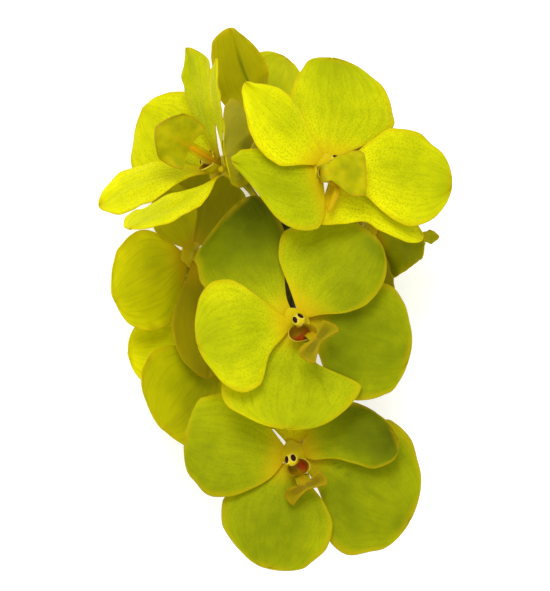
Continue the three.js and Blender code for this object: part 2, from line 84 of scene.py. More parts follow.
# A blade. phi is its direction from the upper sepal's, towards the bloom's left, and L its length. Its
# outline is either plain, with half widths WL and WR that are reached at the shares umL and umR of its
# length and shaped by the powers q and e before and after, or has its half widths left and right at the
# stations. It slopes forward by a0 at its foot and a1 at its tip, turns on its length by tw0, bows to the
# left by side and is lifted by h. green is its tone, from 0, clear yellow, to 1.1, olive green, and past 1.1
# a darker green of painted shade; it is partly the blade's own colour and partly painted shade where the
# blade lies in shadow. It grows by leftward towards the left edge and by outward towards the tip, slopes
# that are partly painted shade too. dull is how brown its back is. fold is a groove: how far it lies to the
# left of the midrib at the foot and at the tip, its depth, and how dark the painted shade in it is.
PLAIN = dict(
    phi=0, L=44, WL=16, WR=16, a0=5, a1=0, umL=0.58, umR=0.58, qL=1.4, qR=1.4, eL=0.5, eR=0.5,
    left=None, right=None, tw0=0, side=0, h=0, fold=None, green=0.35, leftward=0, outward=0, dull=0.6,
)
# A lip. root is where its middle lobe starts, stalk the length of its waist and waist its half width, bend
# the waist's slope at its end and tilt that of the fan (0 runs forward, 90 lies across). fan is the fan's
# half width; back, middle and wing are how far its corners reach back and its middle and wings reach out.
# spin turns the fan in its own plane, droop folds its two wings back and scoop hollows it. roll turns the
# lip with the column, swing the middle lobe and throat_turn the throat and spur after that. lean is how far
# the column's tip leans, throat the throat's width of the usual one, and each side lobe has a height and a
# spread. spur is its length and horn, where given, its course. The colours: keel for the orange keels, gold
# for the spur, hollow for painted shade in the fan's hollow and shade for painted shade over the whole fan,
# tan for brown, floor for the pale patch in the red throat, opposite red_at, and pale_at for the pale side
# of its rim.
PLAIN_LIP = dict(
    root=(0, -8.6, 5), stalk=13, waist=2.3, bend=40, tilt=62, fan=10.5, back=2.5, middle=3, wing=6, spin=0,
    droop=(0.25, 0.25), scoop=0, roll=0, swing=0, throat_turn=0, lean=(0, 0), throat=1, left_lobe=(3.6, 0),
    right_lobe=(3.6, 0), spur=4, horn=None, keel=1, gold=0, hollow=1, shade=0, tan=0,
    floor=0.3, red_at=0, pale_at=-90,
)

# The values on a lip's points that its colours follow
LIP_MARKS = ("throat", "rim", "tan", "keel", "edge", "hollow")

# The stem from its tip to its cut end, and its radii at the same places
STEM = [
    (1.5, 58, 47), (4, 45, 49.5), (5.5, 20, 50), (6.5, -5, 49.5), (8, -35, 48),
    (9.5, -62, 44), (9.5, -78, 38), (8.5, -95, 23), (6.5, -113, 2.05),
]
STEM_RADII = [1.5, 2.0, 2.3, 2.4, 2.5, 2.6, 2.7, 2.8, 2.85]

# Each blade's place before or behind the middle of the bloom
LIFTS = dict(
    dorsal_sepal=SEPAL_LIFT - 0.6, petal_left=PETAL_LIFT, petal_right=PETAL_LIFT,
    lateral_sepal_left=SEPAL_LIFT, lateral_sepal_right=SEPAL_LIFT - 1.2,
)

# Each bloom: its middle, where it faces, the direction of its upper sepal, the share of the stem's length
# where its stalk leaves, its lip and its five blades
BLOOMS = dict(
    bloom_1=dict(
        at=(7.8, -66.1, 76), face=(0, 0.22, 0.97), up=(-0.25, 0.95, 0), start=0.655,
        lip=dict(
            roll=1, lean=(-1.5, -1.5), root=(0.4, -9.6, 4), stalk=7, bend=74, tilt=80, spin=-12, fan=9,
            wing=4.5, droop=(0.1, 0.5), waist=3, keel=0.35, tan=0.5, hollow=1.5, shade=0.25, floor=0.9,
            red_at=30, pale_at=10,
        ),
        dorsal_sepal=dict(phi=-15, L=42, WL=17, WR=17, a0=-6, a1=-22, green=0),
        petal_left=dict(
            phi=66, L=43, a0=12, a1=-5, left=(10.5, 17, 21.5, 22, 17, 11.5),
            right=(6.5, 13.5, 19, 21, 18.5, 14.5), green=0.66, leftward=0.22,
        ),
        petal_right=dict(
            phi=-86, L=40, a0=12, a1=-5, side=-0.18, left=(6, 12, 16, 16, 12.5, 7.5),
            right=(4.5, 6, 10, 13, 11, 7), green=1, outward=0.6,
        ),
        lateral_sepal_left=dict(
            phi=151, L=45, a0=5, a1=-8, left=(7, 17, 22.5, 22, 17.5, 12.5),
            right=(9.5, 17, 24, 22, 15.5, 8.5), green=0.75,
        ),
        lateral_sepal_right=dict(
            phi=-133, L=52, a0=-3, a1=-9, left=(6, 22, 33, 30, 22.5, 14.5),
            right=(3.5, 10, 23.5, 25, 19, 13), green=0.82, fold=(7, 0, 0.8, 0.6),
        ),
    ),
    bloom_2=dict(
        at=(-20.6, -21, 32), face=(-0.5, -0.15, -0.85), up=(-0.24, 0.95, -0.03), start=0.5,
        lip=dict(),
        dorsal_sepal=dict(L=23, WL=12, WR=12, a0=22, a1=10),
        petal_left=dict(phi=72, L=40, a0=27, a1=17),
        petal_right=dict(phi=-80, L=40, WR=17, a0=25, a1=10, green=0, dull=0),
        lateral_sepal_left=dict(phi=155, L=40, WL=14, WR=14, a0=10, a1=0),
        lateral_sepal_right=dict(phi=-122, L=50, WL=24, WR=24, a0=2, a1=-14, green=0.3, dull=0.25),
    ),
    bloom_3=dict(
        at=(9, -10.8, 88), face=(0.05, 0.22, 0.97), up=(-0.5, 0.85, 0), start=0.44,
        lip=dict(
            roll=6, swing=-5, root=(0.5, -7.5, 5), stalk=8.5, bend=50, tilt=76, spin=-22, throat_turn=-32,
            droop=(0.1, 0.1), spur=7, right_lobe=(7, 2), fan=9.7, tan=0.3, keel=0.6, shade=0.45, floor=0.7,
            red_at=-60, pale_at=-135,
        ),
        dorsal_sepal=dict(
            phi=14, L=53, a0=0, a1=-25, side=-0.38, left=(5, 11, 19.5, 25, 25, 22),
            right=(3.5, 10, 18.5, 18.5, 15, 10), green=0.74, leftward=-0.3, outward=1.3,
        ),
        petal_left=dict(
            phi=74.5, L=40, a0=15, a1=0, left=(5, 10, 22, 23, 18, 9), right=(6.5, 16, 24, 24, 19, 11),
            green=0.38,
        ),
        petal_right=dict(
            phi=-71.5, L=45, a0=12, a1=0, left=(10.5, 23.5, 28, 23, 18, 14),
            right=(5.5, 13.5, 17.5, 17, 13.5, 8.5), green=0.7, leftward=-0.2, outward=0.3,
        ),
        lateral_sepal_left=dict(
            phi=142.5, L=41.5, a0=-3, a1=-3, left=(5, 9, 29, 25, 19, 12), right=(7, 16, 26, 27.5, 24, 14),
            green=0.5, leftward=0.15, fold=(3, 22, 0.6, 0.4),
        ),
        lateral_sepal_right=dict(
            phi=-135, L=46, a0=-7, a1=-9, left=(9.5, 19, 25, 25.5, 20, 11),
            right=(5.5, 17, 25, 23.5, 19.5, 14), green=0.93, outward=-0.2,
        ),
    ),
    bloom_4=dict(
        at=(-35.3, 17, 38), face=(-0.69, 0.03, -0.73), up=(-0.43, 0.79, 0.44), start=0.31,
        lip=dict(),
        dorsal_sepal=dict(phi=8, L=30, WL=12, WR=14, a0=3, a1=5, green=0.3, dull=0.45),
        petal_left=dict(
            phi=64, L=42, a0=14, a1=8, left=(4.8, 12.5, 19.5, 23, 22.5, 18),
            right=(5, 12.5, 18, 18.5, 15, 9), green=0.5,
        ),
        petal_right=dict(
            phi=-76, L=42, WL=21, WR=22, a0=5, a1=0, umL=0.5, umR=0.5, qL=0.9, qR=0.9, green=0.1, dull=0.12,
        ),
        lateral_sepal_left=dict(phi=138, L=40, WL=14, WR=14, a0=24, a1=40, h=-0.3, green=0.6),
        lateral_sepal_right=dict(phi=-140, L=50, WL=17, WR=12, a0=-14, a1=-14, green=0.9, dull=0.7),
    ),
    bloom_5=dict(
        at=(40.6, 28, 34), face=(0.88, 0.22, -0.42), up=(0.1, 0.91, 0.38), start=0.22,
        lip=dict(
            swing=90, root=(-7.8, 0, 5), stalk=17.5, bend=-10, tilt=-30, fan=3.2, back=-4, middle=9.2,
            wing=6.8, waist=1.5, hollow=0, tan=0.1, keel=0.3, droop=(0, 0),
        ),
        dorsal_sepal=dict(L=40, a0=2, green=0.6),
        petal_left=dict(
            phi=77, L=39, a0=5, left=(21, 19, 15.3, 11.2, 8, 6), right=(9, 13, 12, 8, 5, 3.5), green=0.58,
            dull=0.1,
        ),
        petal_right=dict(phi=-72, L=40, a0=10, green=0.6),
        lateral_sepal_left=dict(phi=146, L=34, WL=9, WR=11, a0=2, a1=-10, green=0.7),
        lateral_sepal_right=dict(phi=-144, L=40, a0=10, green=0.6),
    ),
    bloom_6=dict(
        at=(-23.3, 53.2, 60), face=(-0.81, 0.46, 0.36), up=(-0.3, 0.2, -0.93), start=0.13,
        lip=dict(
            root=(1.5, -8.6, 5), stalk=14, bend=8, tilt=8, fan=11, back=1, middle=18, wing=13, scoop=2.5,
            hollow=0.6, spur=2.5, gold=0.35,
        ),
        dorsal_sepal=dict(
            phi=-1.8, L=46.5, a0=48, a1=38, side=-0.08, left=(6, 14, 21.5, 23.5, 18.5, 10),
            right=(6, 13, 17.5, 18, 13, 7.5), green=0.24,
        ),
        petal_left=dict(
            phi=70, L=49.5, WL=14, WR=15, a0=59, a1=40, tw0=-8, side=0.35, umL=0.68, umR=0.6, qL=2.4,
            eL=0.7, green=0.02,
        ),
        petal_right=dict(
            phi=-92, L=48, a0=55, a1=36, tw0=22, side=0.25, left=(3, 6, 9, 8.5, 4.5, 2),
            right=(3, 6, 9, 13.5, 14.5, 12.5), green=0.34,
        ),
        lateral_sepal_left=dict(
            phi=139.5, L=58, a0=28, a1=40, tw0=-42, side=-0.15, h=-0.6, left=(3, 6.5, 9.5, 10.5, 8, 5),
            right=(3.5, 7.5, 11.5, 12.5, 11, 6.5), green=0.1,
        ),
        lateral_sepal_right=dict(
            phi=-127.5, L=58, h=-0.7, WL=6, WR=6, a0=49, a1=30, tw0=24, eL=0.6, eR=0.6, green=0.15,
        ),
    ),
    bloom_7=dict(
        at=(21.5, 51.7, 94), face=(0.28, 0.25, 0.93), up=(0.25, 0.95, 0), start=0.1,
        lip=dict(
            roll=74, swing=37, throat_turn=-98, spin=8, lean=(0.2, 1.1),
            horn=((-2, -5.5, 2), (4, -8, 3.4), (2.8, -19.5, 2.6)), gold=0.5, root=(-4.3, 6.6, 6.5),
            stalk=5.5, waist=3.6, hollow=0.2, bend=76, tilt=88, fan=9.7, back=-7, middle=15.3, wing=15.3,
            droop=(0.1, 0.1), throat=0.72, keel=0.25,
        ),
        dorsal_sepal=dict(
            phi=5, L=49, a0=-4, a1=-14, left=(6, 13, 17.5, 16, 12.5, 9), right=(8, 20.5, 28, 25.5, 20, 12),
            green=0.36, outward=0.5,
        ),
        petal_left=dict(
            phi=60.5, L=46, a0=15, a1=0, left=(7, 15.5, 16.5, 13.5, 8.5, 4.5),
            right=(2.5, 5, 8.7, 9, 5.5, 2), green=0.21,
        ),
        petal_right=dict(
            phi=-81.6, L=50.5, a0=4, a1=-3, h=-1.3, left=(5.5, 14, 21, 20, 15, 10),
            right=(4.5, 11, 18, 20, 16, 9.5), green=0.21, outward=0.5,
        ),
        lateral_sepal_left=dict(
            phi=120, L=34.5, a0=0, a1=-10, side=-0.4, left=(16.5, 24, 24.5, 21, 10, 3.5),
            right=(6, 10, 11, 9.5, 7, 3.5), green=0.5,
        ),
        lateral_sepal_right=dict(
            phi=-109, L=47, a0=-4, a1=-10, left=(3.4, 7, 9, 8, 5.5, 2.6),
            right=(21.5, 16, 8.5, 7.5, 6, 3.7), green=0.1,
        ),
    ),
    bloom_8=dict(
        at=(-5.5, 71.6, 42), face=(-0.87, 0, -0.49), up=(-0.245, 0.87, 0.43), start=0.02,
        lip=dict(spur=3.4),
        dorsal_sepal=dict(
            phi=-3, L=43, a0=14, a1=0, tw0=-40, side=0.09, left=(5, 9.5, 11.5, 9.5, 6, 3),
            right=(5, 12, 13, 11.5, 9.5, 7), green=0.4, fold=(1, 1, 3, 0.9),
        ),
        petal_left=dict(phi=76, L=43, WL=14, WR=15, a0=12, a1=4, tw0=-40, green=0.4, dull=0.2),
        petal_right=dict(phi=-78, L=46, WL=19, WR=18, a0=-6, a1=-18, green=0.3),
        lateral_sepal_left=dict(phi=138, L=43, a0=26, a1=27),
        lateral_sepal_right=dict(phi=-116, L=36, WL=12, WR=12, a0=-14, a1=-18, green=0.5, dull=0.8),
    ),
)


# Colours and material nodes. A range node reads from input 1 to 2 and gives from 3 to 4, and a mix node's
# inputs 6 and 7 are its two colours.
SOFT = dict(interpolation_type="SMOOTHSTEP")
COLOURS = dict(out=2, data_type="RGBA")


def colour(code, alpha=1.0):
    """An sRGB hex colour as linear light."""
    channels = [int(code[i:i + 2], 16) / 255 for i in (1, 3, 5)]
    return (*(c / 12.92 if c <= 0.04045 else ((c + 0.055) / 1.055) ** 2.4 for c in channels), alpha)


def add_node(tree, kind, inputs=None, out=0, **settings):
    """Adds one node. An input is given as a value or as the socket that feeds it. Returns one output."""
    made = tree.nodes.new(kind)
    for key, value in settings.items():
        setattr(made, key, value)
    for key, value in (inputs or {}).items():
        if isinstance(value, bpy.types.NodeSocket):
            tree.links.new(value, made.inputs[key])
        else:
            made.inputs[key].default_value = value
    return made.outputs[out] if made.outputs else made


def new_material(name):
    """An empty node material, and a short way to add nodes to it."""
    material = bpy.data.materials.new(name)
    material.use_nodes = True
    tree = material.node_tree
    tree.nodes.clear()

    def node(kind, *rest, **settings):
        return add_node(tree, "ShaderNode" + kind, *rest, **settings)

    return material, node


def finish_material(node, base, bump, roughness, specular, subsurface=0.0, reach=1.0):
    """The shader of living tissue: a dull waxy skin over wet flesh that light soaks into."""
    shader = node("BsdfPrincipled", {
        "Base Color": base, "Normal": bump, "Roughness": roughness, "Specular IOR Level": specular,
        "Subsurface Weight": subsurface, "Subsurface Radius": (1.0, 0.8, 0.05), "Subsurface Scale": reach * MM,
        "IOR": 1.42,
    })
    node("OutputMaterial", {"Surface": shader})
    return shader.node


def petal_material():
    """Vanda petal: firm waxy flesh, dull and a little translucent. Golden at the foot and the edge, greener in
    the middle, streaked along its length and stippled green near the foot. Its tone is partly painted shade,
    darker green where a blade lies in shadow."""
    material, node = new_material("petal_flesh")
    place = node("TexCoord", {}, "Object")
    flat = node("UVMap", uv_map="blade")
    u, v, green, back, dull, crease_shade = (
        node("Attribute", {}, "Fac", attribute_name=key)
        for key in ("run", "side", "green", "back", "dull", "crease_shade")
    )
    off_middle = node("Math", {0: v}, operation="ABSOLUTE")

    # Broad clouds of green, 24 mm and 5 mm across
    cloud = node("TexNoise", {"Vector": place, "Scale": 1000 / 24, "Detail": 1.5})
    fine = node("TexNoise", {"Vector": place, "Scale": 1000 / 5, "Detail": 2.0})
    cloud = node("MapRange", {0: cloud, 1: 0.3, 2: 0.7, 3: -0.09, 4: 0.09}, **SOFT)
    fine = node("MapRange", {0: fine, 1: 0.3, 2: 0.7, 3: -0.04, 4: 0.04}, **SOFT)
    length = node("MapRange", {0: u, 1: 0.1, 2: 0.45}, **SOFT)
    width = node("MapRange", {0: off_middle, 1: 1.0, 2: 0.2}, **SOFT)
    middle = node("Math", {0: length, 1: width}, operation="MULTIPLY")
    middle = node("Math", {0: middle, 1: 0.14, 2: green}, operation="MULTIPLY_ADD")
    green = node("Math", {0: node("Math", {0: middle, 1: cloud}), 1: fine})
    light = node("MapRange", {0: green, 1: 0.0, 2: 0.5})
    deep = node("MapRange", {0: green, 1: 0.5, 2: 1.1})
    # Past 1.1 the tone turns to a darker green that is painted shade, for blades lying in shadow
    painted_shade_green = node("MapRange", {0: green, 1: 1.1, 2: 1.5})

    # Streaks follow the veins from the foot to the edge, about 1 mm apart
    lines = node("CombineXYZ", {
        0: node("Math", {0: u, 1: 3.0}, operation="MULTIPLY"),
        1: node("Math", {0: v, 1: 15.0}, operation="MULTIPLY"),
    })
    lines = node("TexNoise", {"Vector": lines, "Scale": 1.0, "Detail": 2.0})
    streak = node("MapRange", {0: lines, 1: 0.42, 2: 0.68, 3: 0.0, 4: 0.16}, **SOFT)
    rib = node("MapRange", {0: off_middle, 1: 0.045, 2: 0.0, 3: 0.0, 4: 0.22}, **SOFT)
    rib = node("Math", {0: rib, 1: node("MapRange", {0: u, 1: 0.9, 2: 0.2})}, operation="MULTIPLY")
    dark = node("Math", {0: streak, 1: rib}, operation="MAXIMUM")
    # Painted shade along a fold's groove, mixed in with the darker veins
    dark = node("Math", {0: dark, 1: crease_shade}, operation="MAXIMUM")

    # Green stipple: dots 0.5 mm across and 1.1 mm apart, thick near the foot
    dots = node("TexVoronoi", {"Vector": flat, "Scale": 1 / 1.1, "Randomness": 1.0}, voronoi_dimensions="2D")
    chosen = node("SeparateColor", {0: dots.node.outputs["Color"]})
    dot = node("MapRange", {0: dots, 1: 0.36, 2: 0.2}, **SOFT)
    near = node("MapRange", {0: u, 1: 0.06, 2: 0.18}, **SOFT)
    far = node("MapRange", {0: u, 1: 1.0, 2: 0.35}, **SOFT)
    spread = node("Math", {0: near, 1: far}, operation="MULTIPLY")
    present = node("Math", {0: chosen, 1: spread}, operation="LESS_THAN")
    dot = node("Math", {0: dot, 1: present}, operation="MULTIPLY")
    front = node("Math", {0: back, 1: -0.24, 2: 0.28}, operation="MULTIPLY_ADD")
    dot = node("Math", {0: dot, 1: front}, operation="MULTIPLY")

    # Golden foot and amber edge
    foot = node("MapRange", {0: u, 1: 0.3, 2: 0.0, 3: 0.0, 4: 0.85}, **SOFT)
    edge = node("MapRange", {0: off_middle, 1: 0.84, 2: 1.0, 3: 0.0, 4: 0.42}, **SOFT)
    end = node("MapRange", {0: u, 1: 0.93, 2: 1.0, 3: 0.0, 4: 0.42}, **SOFT)
    edge = node("Math", {0: edge, 1: end}, operation="MAXIMUM")

    # The layers of colour, each with how much of it shows. The back, dull, is browner. The darkest green and the
    # dark along a fold's groove are painted shade.
    skin = colour("#E0DC02")
    for share, code in (
        (light, "#ABB101"), (deep, "#6C7600"), (painted_shade_green, "#4A5200"), (dull, "#9E8C02"), (dark, "#5F6A00"),
        (dot, "#6A7200"), (foot, "#C8A506"), (edge, "#BFA006"),
    ):
        skin = node("Mix", {0: share, 6: skin, 7: colour(code)}, **COLOURS)

    relief = node("Bump", {"Height": lines, "Distance": 0.25 * MM, "Strength": 0.5})
    cells = node("TexNoise", {"Vector": place, "Scale": 1000 / 0.5, "Detail": 2.0})
    relief = node("Bump", {"Height": cells, "Distance": 0.02 * MM, "Strength": 0.6, "Normal": relief})
    finish_material(node, skin, relief, 0.6, 0.05, 0.12, 1.2)
    return material


def lip_material():
    """Vanda lip: the same flesh, a little smoother. Red-brown in the throat, orange on the keels and olive on
    the fan, with a darker olive of painted shade over the fan and in its hollow."""
    material, node = new_material("lip_flesh")
    place = node("TexCoord", {}, "Object")
    throat, rim, tan, keel, edge, hollow = (
        node("Attribute", {}, "Fac", attribute_name=key) for key in LIP_MARKS
    )
    cloud = node("TexNoise", {"Vector": place, "Scale": 1000 / 5, "Detail": 3.0})
    cloud = node("MapRange", {0: cloud, 1: 0.3, 2: 0.7}, **SOFT)
    edge = node("Math", {0: edge, 1: 0.7}, operation="MULTIPLY")
    blotch = node("TexNoise", {"Vector": place, "Scale": 1000 / 1.6, "Detail": 3.0})
    blotch = node("MapRange", {0: blotch, 1: 0.3, 2: 0.7, 3: 0.85, 4: 1.0}, **SOFT)
    red = node("Math", {0: throat, 1: blotch}, operation="MULTIPLY")
    skin = colour("#B0A802")
    for share, code in (
        # hollow carries painted shade, over the whole fan and deeper in its hollow
        (cloud, "#929402"), (hollow, "#6F6E00"), (keel, "#CC9406"), (tan, "#7E5A04"), (edge, "#A8850A"),
        (red, "#98300A"), (rim, "#D2BF36"),
    ):
        skin = node("Mix", {0: share, 6: skin, 7: colour(code)}, **COLOURS)
    cells = node("TexNoise", {"Vector": place, "Scale": 1000 / 0.6, "Detail": 2.0})
    relief = node("Bump", {"Height": cells, "Distance": 0.03 * MM, "Strength": 0.6})
    finish_material(node, skin, relief, 0.5, 0.05, 0.1, 1.0)
    return material


def column_material():
    """Column and stalk: pale ribbed flesh, golden where it widens into the bloom, with painted shade in the
    furrows between the ribs.
    """
    material, node = new_material("stalk_flesh")
    place = node("TexCoord", {}, "Object")
    along, furrow, cream = (
        node("Attribute", {}, "Fac", attribute_name=key) for key in ("along", "furrow", "cream")
    )
    cloud = node("TexNoise", {"Vector": place, "Scale": 1000 / 4, "Detail": 3.0})
    cloud = node("MapRange", {0: cloud, 1: 0.3, 2: 0.7}, **SOFT)
    gold = node("MapRange", {0: along, 1: 0.62, 2: 0.95}, **SOFT)
    # Painted shade in the furrows between the ribs
    dark = node("Math", {0: furrow, 1: 0.5}, operation="MULTIPLY")
    skin = colour("#BDB21E")
    for share, code in ((cloud, "#A09A12"), (gold, "#C6B104"), (dark, "#8A7206"), (cream, "#D9C84E")):
        skin = node("Mix", {0: share, 6: skin, 7: colour(code)}, **COLOURS)
    cells = node("TexNoise", {"Vector": place, "Scale": 1000 / 0.5, "Detail": 2.0})
    relief = node("Bump", {"Height": cells, "Distance": 0.03 * MM, "Strength": 0.6})
    finish_material(node, skin, relief, 0.5, 0.12, 0.12, 1.2)
    return material


def eye_material():
    """Pollen pits of the anther cap: wet, dark maroon, with a painted highlight of paler brown in the middle."""
    material, node = new_material("pollen_pit")
    place = node("TexCoord", {}, "Object")
    middle = node("Attribute", {}, "Fac", attribute_name="middle")
    # A painted highlight: paler brown in the middle of the pit's outer face
    brown = node("MapRange", {0: middle, 1: 0.45, 2: 1.0, 3: 0.0, 4: 0.8}, **SOFT)
    skin = node("Mix", {0: brown, 6: colour("#260508"), 7: colour("#5E2F1E")}, **COLOURS)
    cells = node("TexNoise", {"Vector": place, "Scale": 1000 / 0.6, "Detail": 2.0})
    relief = node("Bump", {"Height": cells, "Distance": 0.03 * MM, "Strength": 0.5})
    finish_material(node, skin, relief, 0.35, 0.15)
    return material


def stem_material():
    """Flower stem: hard green-brown rind with pale flecks, satin from handling."""
    material, node = new_material("stem_rind")
    place = node("TexCoord", {}, "Object")
    grain = node("Mapping", {"Vector": place, "Scale": (1.0, 0.15, 1.0)})
    grain = node("TexNoise", {"Vector": grain, "Scale": 1000 / 0.9, "Detail": 3.0})
    tone = node("MapRange", {0: grain, 1: 0.3, 2: 0.7}, **SOFT)
    skin = node("Mix", {0: tone, 6: colour("#4A4A12"), 7: colour("#2C2A0A")}, **COLOURS)
    fleck = node("TexNoise", {"Vector": place, "Scale": 1000 / 1.3, "Detail": 2.0})
    fleck = node("MapRange", {0: fleck, 1: 0.62, 2: 0.7, 3: 0.0, 4: 0.4}, **SOFT)
    skin = node("Mix", {0: fleck, 6: skin, 7: colour("#77702A")}, **COLOURS)
    relief = node("Bump", {"Height": grain, "Distance": 0.06 * MM, "Strength": 0.7})
    finish_material(node, skin, relief, 0.45, 0.35)
    return material


def floor_material():
    """Matt white card over a light table: the faint tooth of its fibres, and hardly any shadow."""
    material, node = new_material("white_card")
    place = node("TexCoord", {}, "Object")
    fibre = node("TexNoise", {"Vector": place, "Scale": 1000 / 1.5, "Detail": 3.0})
    skin = node("Mix", {0: fibre, 6: colour("#FFFFFF"), 7: colour("#FBFBF9")}, **COLOURS)
    relief = node("Bump", {"Height": fibre, "Distance": 0.03 * MM, "Strength": 0.3})
    lit = finish_material(node, skin, relief, 0.8, 0.1)
    lit.inputs["Emission Color"].default_value = colour("#FFFFFF")
    lit.inputs["Emission Strength"].default_value = 0.25
    return material


# Meshes
def mesh_of(name, points, faces, attributes):
    """A mesh from points in millimetres, with named values on its points."""
    mesh = bpy.data.meshes.new(name)
    mesh.from_pydata([tuple(p) for p in (np.asarray(points) + ORIGIN) * MM], [], [tuple(f) for f in faces])
    for key, values in attributes.items():
        mesh.attributes.new(key, "FLOAT", "POINT").data.foreach_set("value", np.asarray(values, np.float32))
    return mesh


def object_of(name, mesh, materials=()):
    """The object of a mesh, at the origin."""
    for material in materials:
        mesh.materials.append(material)
    piece = bpy.data.objects.new(name, mesh)
    bpy.context.scene.collection.objects.link(piece)
    return piece


def make_piece(name, points, faces, attributes, material, uv=None):
    """A finished piece with its doubles merged and its faces turned outwards."""
    mesh = mesh_of(name, points, faces, attributes)
    if uv is not None:
        layer = mesh.uv_layers.new(name="blade")
        corners = np.zeros(len(mesh.loops), np.int32)
        mesh.loops.foreach_get("vertex_index", corners)
        layer.data.foreach_set("uv", np.asarray(uv, np.float32)[corners].ravel())
    shape = bmesh.new()
    shape.from_mesh(mesh)
    bmesh.ops.remove_doubles(shape, verts=shape.verts, dist=DOUBLES)
    bmesh.ops.dissolve_degenerate(shape, edges=shape.edges, dist=DOUBLES / 4)
    bmesh.ops.recalc_face_normals(shape, faces=shape.faces)
    for face in shape.faces:
        face.smooth = True
    shape.to_mesh(mesh)
    shape.free()
    return object_of(name, mesh, [material])


def hand_over(piece, slot, *nodes):
    """The piece rides on the one body and stands for its CAD nodes. Its slot is not used."""
    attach(piece, "root")
    if nodes:
        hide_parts(*nodes)


def grid_faces(rows, columns, start=0, closed=False):
    """Quads of a grid of points. A closed grid joins its last column to its first."""
    across = columns if closed else columns - 1
    return [
        (start + i * columns + j, start + i * columns + (j + 1) % columns,
         start + (i + 1) * columns + (j + 1) % columns, start + (i + 1) * columns + j)
        for i in range(rows - 1) for j in range(across)
    ]


def shell(front, back):
    """Points and faces of a closed sheet: two like grids, joined round their edge."""
    rows, columns = front.shape[:2]
    points = np.concatenate([front.reshape(-1, 3), back.reshape(-1, 3)])
    count = rows * columns
    faces = grid_faces(rows, columns) + [f[::-1] for f in grid_faces(rows, columns, count)]
    border = [(0, j) for j in range(columns)] + [(i, columns - 1) for i in range(1, rows)]
    border += [(rows - 1, j) for j in range(columns - 2, -1, -1)] + [(i, 0) for i in range(rows - 2, 0, -1)]
    ring = [i * columns + j for i, j in border]
    faces += [(a, a + count, b + count, b) for a, b in zip(ring, ring[1:] + ring[:1])]
    return points, faces


def unit(v):
    """Vectors of length 1."""
    return v / np.linalg.norm(v, axis=-1, keepdims=True)


def bloom_axes(bloom):
    """Right, up and forward of a bloom, as rows."""
    forward = unit(np.array(bloom["face"], float))
    up = np.array(bloom["up"], float)
    up = unit(up - forward * (up @ forward))
    return np.array([np.cross(up, forward), up, forward])


def half_width(u, width, um, q, e):
    """Half width of a plain outline: it widens from the claw to its widest place and rounds off to the tip."""
    foot = CLAW + (width - CLAW) * np.sin(math.pi / 2 * np.clip(u / um, 0, 1)) ** q
    end = width * np.clip(1 - np.clip((u - um) / (1 - um), 0, 1) ** TIP, 0, 1) ** e
    return np.where(u < um, foot, end)


def round_end(u):
    """Rounds a measured outline off at its tip."""
    return np.sqrt(np.clip(1 - u ** 6, 0, 1))


def measured_width(u, widths):
    """Half width of a blade whose width was read off at the stations, on a smooth curve through them."""
    x = np.array(STATIONS)
    y = np.array([CLAW, *widths]) / round_end(x[:-1])
    y = np.append(y, y[-1])
    rise = np.diff(y) / np.diff(x)
    slope = np.empty_like(y)
    slope[0], slope[-1] = rise[0], rise[-1]
    both = rise[:-1] * rise[1:]
    slope[1:-1] = np.where(both > 0, 2 * both / np.where(both > 0, rise[:-1] + rise[1:], 1), 0)
    i = np.clip(np.searchsorted(x, u, "right") - 1, 0, len(x) - 2)
    gap = x[i + 1] - x[i]
    k = (u - x[i]) / gap
    near = (1 + 2 * k) * (1 - k) ** 2 * y[i] + k * (1 - k) ** 2 * gap * slope[i]
    far = k * k * (3 - 2 * k) * y[i + 1] - k * k * (1 - k) * gap * slope[i + 1]
    return (near + far) * round_end(u)


def side_width(t, side, u):
    """Half width on one side, L or R, from its measured widths or from the plain outline."""
    widths = t["left" if side == "L" else "right"]
    if widths:
        return measured_width(u, widths)
    return half_width(u, t["W" + side], t["um" + side], t["q" + side], t["e" + side])


def column_of(values):
    """Values ready to multiply vectors."""
    return np.asarray(values)[..., None]


def smoothstep(x, low, high):
    """Rises smoothly from 0 at low to 1 at high."""
    t = np.clip((x - low) / (high - low), 0, 1)
    return t * t * (3 - 2 * t)


def press(z, floor):
    """A height that would lie under the surface is laid on it."""
    return floor + FLOOR_SOFT * np.logaddexp(0, (z - floor) / FLOOR_SOFT)


